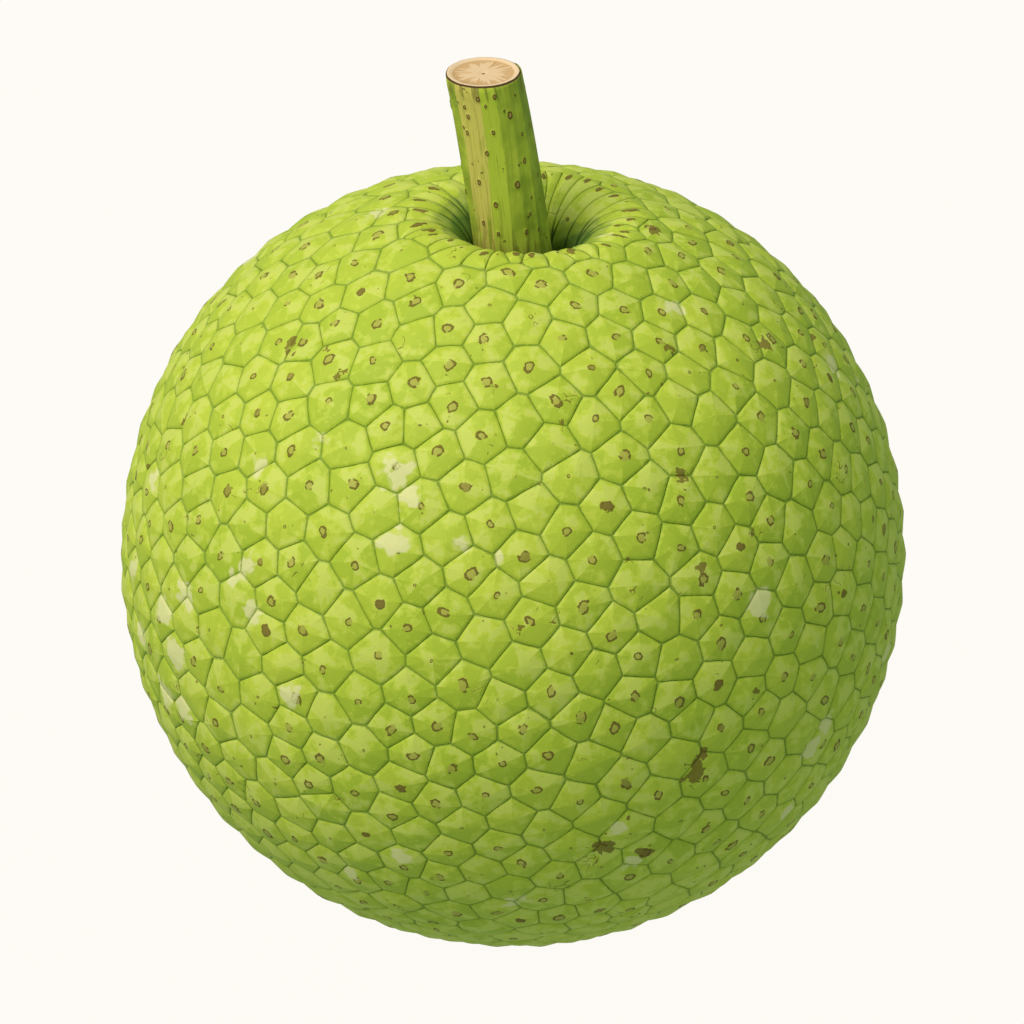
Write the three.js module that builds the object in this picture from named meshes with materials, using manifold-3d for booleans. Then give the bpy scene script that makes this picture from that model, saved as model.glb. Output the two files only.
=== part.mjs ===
// A breadfruit standing on its blossom end, with a length of cut stalk left on.
// Millimetres, +Z up. The origin is the middle of the flat spot the fruit rests on.
// The skin is a net of many-sided scales. Each scale is a low pyramid: its tip stands out
// and its corners lie down in the grooves it shares with its neighbours.

import * as THREE from "three";
import { ConvexHull } from "three/addons/math/ConvexHull.js";
import { mergeVertices } from "three/addons/utils/BufferGeometryUtils.js";
import Module from "manifold-3d";

const { degToRad, lerp, smoothstep } = THREE.MathUtils;

// ---- Body. Heights of the body and of the stalk are measured from the middle of the body.
const BODY_RADIUS = 79.6;
const CENTRE_HEIGHT = 77.7; // middle of the body above the flat spot
const SHOULDER_SWELL = 0.0135; // extra radius of the upper body halfway to its top, as a share
const RIM_ANGLE = degToRad(18.6); // where the body turns over into the rim of the stalk cavity
const RIM_RADIUS = 11.5;
const WALL_DEPTH = 8; // straight wall of the cavity below its rounded rim
const FLOOR_FILLET = 3;
const RIM_SHIFT = 2; // the cavity opens off the middle, towards +X
const RIM_TILT = 0.03; // and its rim stands higher towards -X and -Y, rise over run
const SHIFT_START = 44; // radius where the shoulder begins to follow the shifted rim
const SHIFT_END = 20;

// ---- Scales
const SCALE_WIDTH = 9.2; // across one scale on the body
const SHOULDER_SCALE_WIDTH = 8.8;
const SHOULDER_STRETCH = 1.08; // length of a scale over its width near the top of the body
const THROAT_STRETCH = 3;
const SPIRAL_END = -3; // where the scales of the body end, past the crest of the rim
const RIM_SCALES = 35; // long scales that hang over the rim and down the wall
const RIM_TIP = 1; // their tips, past the crest of the rim
const RIM_STRAY = 1.3; // how far those tips stray along the profile
const RIM_WANDER = 0.42; // and around the rim, as a share of the distance between two of them
const RIM_EDGE = 6; // longest edge of a facet at the rim, so that it follows the curve
const HEX_AREA = Math.sqrt(3) / 2; // area of a hexagon one unit across its flats
const WANDER = 0.3; // how far a scale strays from the even spiral, in scale widths
const TIP_HEIGHT = 0.42;
const TIP_HEIGHT_SPREAD = 0.25;
const GROOVE_DEPTH = 0.48;
const THROAT_RELIEF = 0.45; // relief deep in the cavity, as a share of the relief of the body
const SPIRAL_SEED = 7;

// ---- Stalk
const STALK_TOP_HEIGHT = 107.7;
const STALK_ROOT_HEIGHT = 44.3;
const STALK_BEND_HEIGHT = 68.1; // height where the two figures below are measured
const STALK_OFFSET = 0.2; // along X
const STALK_LEAN = 0.123; // towards -X, rise over run
const STALK_BEND = 0.00168; // growth of the lean per millimetre of height
const STALK_TOP_RADIUS = 7.65;
const STALK_FOOT_RADIUS = 7.95;
const STALK_RIDGES = [-78, -44, -13, 12, 33, 56, 88, 118, 150, 183, 214, 248]; // degrees
const RIDGE_SHARPNESS = 0.8; // 1 gives plain flats between the ridges, 0 a round stalk
const STRIPS_PER_FLAT = 4;
const STALK_RINGS = 14;
const CUT_LEAN = degToRad(1.5); // the cut face leans this far towards -X
const CUT_BEVEL = 0.35;
const CUT_RIND = 0.9; // width of the rind around the sunken wood of the cut face
const CUT_SINK = 0.25;
const PITH_RADIUS = 0.9;
const PITH_DEPTH = 0.5;
const SOCKET_GAP = 0.3;
const SOCKET_CUTTER_LENGTH = 16; // from the root of the stalk to above the floor of the cavity

// ---- Raised breathing pores of the stalk: [down from the cut, degrees around, size].
// Degrees run from the front of the stalk (-Y) towards +X.
const PORES = [
  [2.4, -11, 1.1], [2.5, 14, 1.1], [4.2, -2, 0.8], [6.3, -33, 1.1], [4.2, -36, 0.9],
  [3.4, -48, 0.7], [7.3, 32, 1.5], [8.8, -46, 0.9], [9.9, -40, 1], [10, 2, 1],
  [12.3, 48, 0.8], [12.1, 74, 0.8], [14.2, -13, 1.1], [17.8, 43, 1.2], [20.7, -35, 1.2],
  [22, 24, 1.5], [25.5, -13, 1.2], [25.8, 44, 0.7], [29.8, -39, 1], [32.4, 26, 1.1],
  [32.9, 48, 0.9], [31.9, -16, 0.9], [28.9, 37, 0.7], [6.1, 24, 0.6], [4, 49, 0.6],
];
const BACK_PORES = 34; // the far side, where they sit at random
const BACK_PORES_FROM = 86; // degrees
const BACK_PORES_SPAN = 200;
const BACK_PORES_LENGTH = 33;
const PORE_HALF_WIDTH = 0.42;
const PORE_HALF_LENGTH = 0.66;
const PORE_HEIGHT = 0.24;
const PORE_SEED = 23;

const PROFILE_STEP = 0.25; // length of one step along the profile when scales are laid out
const CUTTER_SIZE = 400;

// Repeatable random numbers from 0 to 1.
function randomSource(seed) {
  let state = seed >>> 0;
  return () => {
    state = (state + 0x6d2b79f5) >>> 0;
    let mixed = Math.imul(state ^ (state >>> 15), state | 1);
    mixed ^= mixed + Math.imul(mixed ^ (mixed >>> 7), mixed | 61);
    return ((mixed ^ (mixed >>> 14)) >>> 0) / 2 ** 32;
  };
}

// Value at x of the line through the points (xs, ys); xs rises.
function interpolate(xs, ys, x) {
  let low = 0;
  let high = xs.length - 1;
  while (high - low > 1) {
    const middle = (low + high) >> 1;
    if (xs[middle] > x) high = middle;
    else low = middle;
  }
  const share = Math.min(1, Math.max(0, (x - xs[low]) / (xs[high] - xs[low])));
  return lerp(ys[low], ys[high], share);
}

// ---- Profile of the fruit, from its lowest point round the outside, over the rim and down
// the cavity to the middle of the cavity's floor. Distances along it are arc lengths.
const RIM_CENTRE_R = (BODY_RADIUS - RIM_RADIUS) * Math.sin(RIM_ANGLE);
const RIM_CENTRE_Z = (BODY_RADIUS - RIM_RADIUS) * Math.cos(RIM_ANGLE);
const THROAT_RADIUS = RIM_CENTRE_R - RIM_RADIUS;
const RIM_START = BODY_RADIUS * (Math.PI - RIM_ANGLE);
const RIM_CREST = RIM_START + RIM_RADIUS * RIM_ANGLE;
const WALL_START = RIM_START + RIM_RADIUS * (RIM_ANGLE + Math.PI / 2);
const FILLET_START = WALL_START + WALL_DEPTH;
const FLOOR_START = FILLET_START + (FLOOR_FILLET * Math.PI) / 2;
const PROFILE_END = FLOOR_START + THROAT_RADIUS - FLOOR_FILLET;

// Radius, height and outward normal of the profile at one distance along it.
function profileAt(distance) {
  if (distance < RIM_START) {
    const angle = distance / BODY_RADIUS;
    const nr = Math.sin(angle);
    const nz = -Math.cos(angle);
    return { r: BODY_RADIUS * nr, z: BODY_RADIUS * nz, nr, nz };
  }
  if (distance < WALL_START) {
    const angle = RIM_ANGLE - (distance - RIM_START) / RIM_RADIUS;
    const nr = Math.sin(angle);
    const nz = Math.cos(angle);
    return { r: RIM_CENTRE_R + RIM_RADIUS * nr, z: RIM_CENTRE_Z + RIM_RADIUS * nz, nr, nz };
  }
  if (distance < FILLET_START) {
    return { r: THROAT_RADIUS, z: RIM_CENTRE_Z - (distance - WALL_START), nr: -1, nz: 0 };
  }
  const wallFoot = RIM_CENTRE_Z - WALL_DEPTH;
  if (distance < FLOOR_START) {
    const angle = (distance - FILLET_START) / FLOOR_FILLET;
    const nr = -Math.cos(angle);
    const nz = Math.sin(angle);
    const r = THROAT_RADIUS - FLOOR_FILLET - FLOOR_FILLET * nr;
    return { r, z: wallFoot - FLOOR_FILLET * nz, nr, nz };
  }
  return { r: Math.max(0, PROFILE_END - distance), z: wallFoot - FLOOR_FILLET, nr: 0, nz: 1 };
}

// Width of the scales at one distance along the profile.
function scaleWidth(distance) {
  return lerp(SCALE_WIDTH, SHOULDER_SCALE_WIDTH, smoothstep(distance - RIM_CREST, -60, -15));
}

// Length of the scales over their width at one distance along the profile.
function scaleStretch(distance) {
  const pastCrest = distance - RIM_CREST;
  const body = lerp(1, SHOULDER_STRETCH, smoothstep(pastCrest, -60, -15));
  return lerp(body, THROAT_STRETCH, smoothstep(pastCrest, 0, 6));
}

// Relief of the scales at one distance along the profile, as a share of the body's.
function reliefShare(distance) {
  return lerp(1, THROAT_RELIEF, smoothstep(distance - RIM_CREST, 0, 14));
}

// Sideways position of the stalk's axis at one height.
function stalkAxisX(z) {
  const rise = z - STALK_BEND_HEIGHT;
  return STALK_OFFSET - STALK_LEAN * rise - (STALK_BEND * rise * rise) / 2;
}

// ---- Layout of the scales. The profile is walked once. At each step the table holds the
// number of scales below it, and the angle it takes on a sphere where all scales are round.
function walkProfile() {
  const table = { distance: [0], count: [0], angle: [0] };
  let count = 0;
  let mercator = Math.log(Math.tan(PROFILE_STEP / BODY_RADIUS / 2));
  for (let from = 0; from < PROFILE_END - 2 * PROFILE_STEP; from += PROFILE_STEP) {
    const middle = from + PROFILE_STEP / 2;
    const { r } = profileAt(middle);
    const width = scaleWidth(middle);
    const stretch = scaleStretch(middle);
    count += (2 * Math.PI * r * PROFILE_STEP) / (HEX_AREA * width * width * stretch);
    if (from > 0) mercator += PROFILE_STEP / (r * stretch);
    table.distance.push(from + PROFILE_STEP);
    table.count.push(count);
    table.angle.push(2 * Math.atan(Math.exp(mercator)));
  }
  table.distance.push(PROFILE_END);
  table.count.push(count);
  table.angle.push(Math.PI);
  return table;
}

const layout = walkProfile();

// Direction on the layout sphere for a place on the skin.
function layoutDirection(distance, longitude) {
  const angle = interpolate(layout.distance, layout.angle, distance);
  return new THREE.Vector3(
    Math.sin(angle) * Math.cos(longitude),
    Math.sin(angle) * Math.sin(longitude),
    -Math.cos(angle),
  );
}

// Tips of the scales: a golden-angle spiral over the body, each one strayed a little, and
// inside it a ring of long scales that hang over the rim, and one scale on the cavity's floor.
function layTips() {
  const random = randomSource(SPIRAL_SEED);
  const goldenAngle = Math.PI * (3 - Math.sqrt(5));
  const total = Math.floor(interpolate(layout.distance, layout.count, RIM_CREST + SPIRAL_END));
  const spiral = Array.from({ length: total }, (_, index) => {
    const even = interpolate(layout.count, layout.distance, index + 0.5);
    const width = scaleWidth(even);
    const { r } = profileAt(even);
    const along = (random() * 2 - 1) * WANDER * width * scaleStretch(even);
    const around = ((random() * 2 - 1) * WANDER * width) / Math.max(r, width);
    const height = TIP_HEIGHT * (1 + (random() * 2 - 1) * TIP_HEIGHT_SPREAD);
    return { direction: layoutDirection(Math.abs(even + along), index * goldenAngle + around), height };
  });
  const inner = Array.from({ length: RIM_SCALES }, (_, index) => {
    const along = (random() * 2 - 1) * RIM_STRAY;
    const around = (random() * 2 - 1) * RIM_WANDER;
    const longitude = ((index + around) * 2 * Math.PI) / RIM_SCALES;
    return { direction: layoutDirection(RIM_CREST + RIM_TIP + along, longitude), height: TIP_HEIGHT };
  });
  inner.push({ direction: new THREE.Vector3(0, 0, 1), height: 0 });
  return { spiral, inner };
}

// Moves each tip of the spiral to the middle of the corners around it, which evens it out.
function evenSpiral({ spiral, inner }) {
  const tips = [...spiral, ...inner];
  const middles = new Map(tips.map(({ direction }) => [direction, new THREE.Vector3()]));
  new ConvexHull().setFromPoints([...middles.keys()]).faces.forEach((face) => {
    let edge = face.edge;
    do {
      middles.get(edge.tail().point).add(face.normal);
      edge = edge.next;
    } while (edge !== face.edge);
  });
  return spiral.map(({ direction, height }) => ({
    direction: middles.get(direction).normalize(),
    height,
  }));
}

// Point of the skin for one direction on the layout sphere, raised by a height.
function skinPoint({ direction, height }) {
  const angle = Math.atan2(Math.hypot(direction.x, direction.y), -direction.z);
  const longitude = Math.atan2(direction.y, direction.x);
  const distance = interpolate(layout.angle, layout.distance, angle);
  const profile = profileAt(distance);
  const raised = height * reliefShare(distance);
  const r = profile.r + profile.nr * raised;
  const z = profile.z + profile.nz * raised;
  const polar = Math.atan2(r, z);
  const swell = z > 0 ? 1 + SHOULDER_SWELL * Math.sin(2 * polar) ** 2 : 1;
  const inner = z > 0 ? 1 - smoothstep(r, SHIFT_END, SHIFT_START) : 0;
  const x = r * swell * Math.cos(longitude);
  const y = r * swell * Math.sin(longitude);
  const lift = -inner * RIM_TILT * (x + y);
  return new THREE.Vector3(x + inner * RIM_SHIFT, y, z * swell + lift + CENTRE_HEIGHT);
}

// Halves the long edges of the facets that reach into the rim, until none is too long.
// Both facets of an edge share its halves, so the skin stays closed.
function splitAtRim(facets, nodes, points) {
  const rimStart = layoutDirection(RIM_CREST + SPIRAL_END, 0).z;
  const middles = new Map();
  const middleOf = (from, to) => {
    const key = `${Math.min(from, to)} ${Math.max(from, to)}`;
    if (!middles.has(key)) {
      const direction = nodes[from].direction.clone().add(nodes[to].direction).normalize();
      const height = (nodes[from].height + nodes[to].height) / 2;
      middles.set(key, nodes.length);
      nodes.push({ direction, height });
      points.push(skinPoint({ direction, height }));
    }
    return middles.get(key);
  };
  const excess = ([from, to]) => {
    const atRim = Math.max(nodes[from].direction.z, nodes[to].direction.z) > rimStart;
    return atRim ? points[from].distanceTo(points[to]) - RIM_EDGE : 0;
  };
  const split = ([a, b, c]) => {
    const sides = [[a, b, c], [b, c, a], [c, a, b]];
    const [from, to, apex] = sides.reduce((x, y) => (excess(y) > excess(x) ? y : x));
    if (excess([from, to]) <= 0) return [[a, b, c]];
    const middle = middleOf(from, to);
    return [...split([from, middle, apex]), ...split([middle, to, apex])];
  };
  return facets.flatMap(split);
}

// Closed skin of the fruit. The hull of the tips on the sphere gives each tip its
// neighbours; every facet of the hull gives one corner that three scales share.
function skinGeometry() {
  const tips = layTips();
  const nodes = [...evenSpiral(tips), ...tips.inner];
  const nodeOf = new Map(nodes.map(({ direction }, index) => [direction, index]));
  const hull = new ConvexHull().setFromPoints([...nodeOf.keys()]);
  hull.faces.forEach((face) => {
    nodeOf.set(face, nodes.length);
    nodes.push({ direction: face.normal, height: -GROOVE_DEPTH });
  });
  const facets = [];
  hull.faces.forEach((face) => {
    let edge = face.edge;
    do {
      const tip = nodeOf.get(edge.tail().point);
      facets.push([tip, nodeOf.get(edge.twin.face), nodeOf.get(face)]);
      edge = edge.next;
    } while (edge !== face.edge);
  });
  const points = nodes.map(skinPoint);
  const index = splitAtRim(facets, nodes, points).flat();
  return new THREE.BufferGeometry().setFromPoints(points).setIndex(index);
}

// Closed tube through rings of points, each ring counter-clockwise seen from the last one.
function tubeGeometry(rings) {
  const sides = rings[0].length;
  const middleOf = (ring) =>
    ring.reduce((sum, point) => sum.add(point), new THREE.Vector3()).divideScalar(sides);
  const foot = rings.length * sides;
  const top = foot + 1;
  const last = foot - sides;
  const index = [];
  for (let side = 0; side < sides; side += 1) {
    const next = (side + 1) % sides;
    index.push(foot, next, side);
    index.push(top, last + side, last + next);
    for (let row = 0; row < last; row += sides) {
      index.push(row + side, row + next, row + sides + next);
      index.push(row + side, row + sides + next, row + sides + side);
    }
  }
  const points = [...rings.flat(), middleOf(rings[0]), middleOf(rings.at(-1))];
  return new THREE.BufferGeometry().setFromPoints(points).setIndex(index);
}

// Axis of the stalk at one height: its middle, and the directions across, back and along.
function stalkFrame(z) {
  const lean = STALK_LEAN + STALK_BEND * (z - STALK_BEND_HEIGHT);
  const along = new THREE.Vector3(-lean, 0, 1).normalize();
  const back = new THREE.Vector3(0, 1, 0);
  const across = new THREE.Vector3().crossVectors(back, along);
  return { middle: new THREE.Vector3(stalkAxisX(z), 0, z + CENTRE_HEIGHT), across, back, along };
}

// Radius of the stalk at one height, before its flats.
function stalkRadius(z) {
  const share = (z - STALK_ROOT_HEIGHT) / (STALK_TOP_HEIGHT - STALK_ROOT_HEIGHT);
  return lerp(STALK_FOOT_RADIUS, STALK_TOP_RADIUS, share);
}

// Angles of the stalk's strips, and how far each is drawn in from the ridges.
function stalkStrips() {
  return STALK_RIDGES.flatMap((degrees, index) => {
    const from = degToRad(degrees);
    const to = degToRad(STALK_RIDGES[index + 1] ?? STALK_RIDGES[0] + 360);
    return Array.from({ length: STRIPS_PER_FLAT }, (_, strip) => {
      const angle = lerp(from, to, strip / STRIPS_PER_FLAT);
      const flat = Math.cos((to - from) / 2) / Math.cos(angle - (from + to) / 2);
      return { angle, share: lerp(1, flat, RIDGE_SHARPNESS) };
    });
  });
}

// Point around the stalk; the angle runs from the front (-Y) towards +X.
function aroundStalk(frame, angle, radius) {
  return frame.middle
    .clone()
    .addScaledVector(frame.across, Math.sin(angle) * radius)
    .addScaledVector(frame.back, -Math.cos(angle) * radius);
}

// Bare stalk with its flats and its slanting cut face.
function stalkGeometry() {
  const strips = stalkStrips();
  const ringAt = (z, inset) => {
    const frame = stalkFrame(z);
    const radius = stalkRadius(z) - inset;
    return strips.map(({ angle, share }) => aroundStalk(frame, angle, radius * share));
  };
  const top = stalkFrame(STALK_TOP_HEIGHT);
  const cutNormal = new THREE.Vector3(-Math.sin(CUT_LEAN), 0, Math.cos(CUT_LEAN));
  const slantedRing = (inset, sink) =>
    ringAt(STALK_TOP_HEIGHT, inset).map((point) => {
      const rise = top.middle.clone().sub(point).dot(cutNormal) - sink;
      return point.addScaledVector(top.along, rise / top.along.dot(cutNormal));
    });
  const rings = [ringAt(STALK_ROOT_HEIGHT, CUT_BEVEL)];
  for (let ring = 0; ring < STALK_RINGS; ring += 1) {
    const low = STALK_ROOT_HEIGHT + CUT_BEVEL;
    const high = STALK_TOP_HEIGHT - 2;
    rings.push(ringAt(lerp(low, high, ring / (STALK_RINGS - 1)), 0));
  }
  rings.push(slantedRing(0, CUT_BEVEL));
  rings.push(slantedRing(CUT_BEVEL, 0));
  rings.push(slantedRing(CUT_RIND, 0));
  rings.push(slantedRing(CUT_RIND + CUT_SINK, CUT_SINK));
  rings.push(slantedRing(STALK_TOP_RADIUS - PITH_RADIUS, CUT_SINK));
  rings.push(slantedRing(STALK_TOP_RADIUS - PITH_RADIUS / 2, PITH_DEPTH));
  return tubeGeometry(rings);
}

// Round cutter that leaves the stalk its gap in the fruit.
function socketGeometry() {
  const foot = STALK_ROOT_HEIGHT - SOCKET_GAP;
  const rings = [0, 1, 2, 3].map((step) => {
    const z = foot + (SOCKET_CUTTER_LENGTH * step) / 3;
    const frame = stalkFrame(z);
    const radius = stalkRadius(Math.max(z, STALK_ROOT_HEIGHT)) + SOCKET_GAP;
    return stalkStrips().map(({ angle }) => aroundStalk(frame, angle, radius));
  });
  return tubeGeometry(rings);
}

// One raised pore, a low oval bead bedded in the surface of the stalk.
function poreGeometry([down, degrees, size]) {
  const z = STALK_TOP_HEIGHT - down;
  const frame = stalkFrame(z);
  const angle = degToRad(degrees);
  const middle = aroundStalk(frame, angle, stalkRadius(z) - PORE_HEIGHT / 3);
  const outward = middle.clone().sub(frame.middle).normalize();
  const sideways = new THREE.Vector3().crossVectors(frame.along, outward);
  const bead = new THREE.SphereGeometry(1, 8, 5);
  bead.scale(PORE_HALF_WIDTH * size, PORE_HALF_LENGTH * size, PORE_HEIGHT * 1.5);
  const placed = new THREE.Matrix4().makeBasis(sideways, frame.along, outward);
  return bead.applyMatrix4(placed.setPosition(middle));
}

// Pores of the far side of the stalk.
function backPores() {
  const random = randomSource(PORE_SEED);
  return Array.from({ length: BACK_PORES }, () => {
    const down = 2 + random() * BACK_PORES_LENGTH;
    const degrees = BACK_PORES_FROM + random() * BACK_PORES_SPAN;
    return [down, degrees, 0.6 + random() * 0.8];
  });
}

const wasm = await Module();
wasm.setup();

function solidOf(geometry) {
  const bare = geometry.clone();
  bare.deleteAttribute("normal");
  bare.deleteAttribute("uv");
  const merged = mergeVertices(bare, 1e-4);
  const vertProperties = merged.attributes.position.array;
  const triVerts = new Uint32Array(merged.index.array);
  return new wasm.Manifold(new wasm.Mesh({ numProp: 3, vertProperties, triVerts }));
}

function geometryOf(solid) {
  const mesh = solid.getMesh();
  const geometry = new THREE.BufferGeometry();
  geometry.setAttribute("position", new THREE.BufferAttribute(mesh.vertProperties, 3));
  geometry.setIndex(new THREE.BufferAttribute(mesh.triVerts, 1));
  geometry.computeVertexNormals();
  return geometry;
}

function meshOf(name, solid, color, roughness) {
  const material = new THREE.MeshStandardMaterial({ color, roughness, metalness: 0 });
  const mesh = new THREE.Mesh(geometryOf(solid), material);
  mesh.name = name;
  return mesh;
}

const belowFloor = new THREE.BoxGeometry(CUTTER_SIZE, CUTTER_SIZE, CUTTER_SIZE);
belowFloor.translate(0, 0, -CUTTER_SIZE / 2);

const fruit = solidOf(skinGeometry())
  .subtract(solidOf(belowFloor))
  .subtract(solidOf(socketGeometry()));

const stalk = [...PORES, ...backPores()].reduce(
  (solid, pore) => solid.add(solidOf(poreGeometry(pore))),
  solidOf(stalkGeometry()),
);

const group = new THREE.Group();
group.name = "breadfruit";
group.add(meshOf("fruit", fruit, 0x9cbf38, 0.6));
group.add(meshOf("stalk", stalk, 0x7f9a35, 0.7));

export default group;
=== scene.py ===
"""Breadfruit with a length of cut stalk, dressed over its CAD frame.

The skin is laid out as the CAD part lays it out: tips of the scales stray a little from a
golden-angle spiral on a sphere, the hull of the tips gives each scale its neighbours, and the
sphere is wrapped over the fruit's profile and down into the hollow round the stalk.
Sizes are in millimetres until a mesh is finished. Heights are measured from the middle of
the body until then too.
"""

import logging
import math
from dataclasses import dataclass, field
from enum import Enum
from typing import Callable, Iterable

import bmesh
import bpy
import numpy as np
from mathutils import Euler, Matrix, Vector, noise

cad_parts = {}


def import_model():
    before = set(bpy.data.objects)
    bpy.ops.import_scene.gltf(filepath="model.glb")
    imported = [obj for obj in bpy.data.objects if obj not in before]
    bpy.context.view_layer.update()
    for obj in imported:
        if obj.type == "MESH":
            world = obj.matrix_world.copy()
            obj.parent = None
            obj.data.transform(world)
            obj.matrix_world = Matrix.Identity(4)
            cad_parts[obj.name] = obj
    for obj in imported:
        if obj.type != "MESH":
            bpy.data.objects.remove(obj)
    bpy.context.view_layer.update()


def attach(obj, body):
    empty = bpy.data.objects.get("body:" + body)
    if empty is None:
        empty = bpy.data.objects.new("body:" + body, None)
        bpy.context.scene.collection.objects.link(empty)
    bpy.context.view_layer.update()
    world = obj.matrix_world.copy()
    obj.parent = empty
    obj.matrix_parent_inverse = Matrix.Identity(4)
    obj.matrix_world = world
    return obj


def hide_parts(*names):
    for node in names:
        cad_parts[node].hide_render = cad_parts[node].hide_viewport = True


LOG = logging.getLogger("breadfruit")
MM = 0.001
TINY = 1e-6
CENTRE_HEIGHT = 77.7  # middle of the body above the flat spot that the fruit rests on
VIEW_ELEVATION = math.radians(26.8)  # how far the front view looks down

Colour = tuple[float, float, float]
Socket = bpy.types.NodeSocket
Number = Socket | float
Ring = list[bmesh.types.BMVert]


class Slot(Enum):
    """Material slots of the pieces."""

    SKIN = "skin"
    BARK = "bark"


def linear(red: int, green: int, blue: int) -> Colour:
    """Linear colour from display values of 0 to 255."""
    shares = (value / 255 for value in (red, green, blue))
    return tuple(s / 12.92 if s <= 0.04045 else ((s + 0.055) / 1.055) ** 2.4 for s in shares)


def smooth(value: np.ndarray | float, low: float, high: float) -> np.ndarray:
    """Smooth step of a value from 0 at low to 1 at high, whichever of the two is larger."""
    share = np.clip((np.asarray(value, float) - low) / (high - low), 0, 1)
    return share * share * (3 - 2 * share)


def blend(start: np.ndarray | float, end: np.ndarray | float, share: np.ndarray) -> np.ndarray:
    """Value a share of the way from start to end."""
    return start + (end - start) * share


def unit(rows: np.ndarray) -> np.ndarray:
    """Vectors that point the same way, with length 1."""
    return rows / np.maximum(np.linalg.norm(rows, axis=-1, keepdims=True), TINY)


def random_source(seed: int) -> Callable[[], float]:
    """Repeatable random numbers from 0 to 1, the same as the CAD part's.

    Args:
        seed: Whole number that the series starts from.

    Returns:
        Function that gives the next number each time.
    """
    state = seed & 0xFFFFFFFF

    def draw() -> float:
        """Draw the next number of the series.

        Returns:
            Number from 0 up to 1.
        """
        nonlocal state
        state = (state + 0x6D2B79F5) & 0xFFFFFFFF
        mixed = ((state ^ (state >> 15)) * (state | 1)) & 0xFFFFFFFF
        mixed ^= (mixed + ((mixed ^ (mixed >> 7)) * (mixed | 61))) & 0xFFFFFFFF
        return ((mixed ^ (mixed >> 14)) & 0xFFFFFFFF) / 2**32

    return draw


def store(mesh: bpy.types.Mesh, name: str, domain: str, values: np.ndarray) -> None:
    """Store a number or a vector for each point or face of a mesh.

    Args:
        mesh: Mesh that takes the attribute.
        name: Name of the attribute.
        domain: POINT or FACE.
        values: One number or one row of three for each of them.
    """
    kind, key = ("FLOAT_VECTOR", "vector") if np.ndim(values) == 2 else ("FLOAT", "value")
    layer = mesh.attributes.new(name, kind, domain)
    layer.data.foreach_set(key, np.ascontiguousarray(values, np.float32).ravel())


def piece_from(
    name: str, mesh: bpy.types.Mesh, materials: Iterable[bpy.types.Material], slot: Slot
) -> bpy.types.Object:
    """Link a finished mesh as a piece that rides on the fruit's one body.

    Args:
        name: Name of the piece.
        mesh: Finished mesh, in metres, in its place.
        materials: Materials in the order of the mesh's material numbers.
        slot: Material slot of the piece; not used.

    Returns:
        The linked object.
    """
    piece = bpy.data.objects.new(name, mesh)
    bpy.context.scene.collection.objects.link(piece)
    for material in materials:
        mesh.materials.append(material)
    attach(piece, "root")
    return piece


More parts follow.
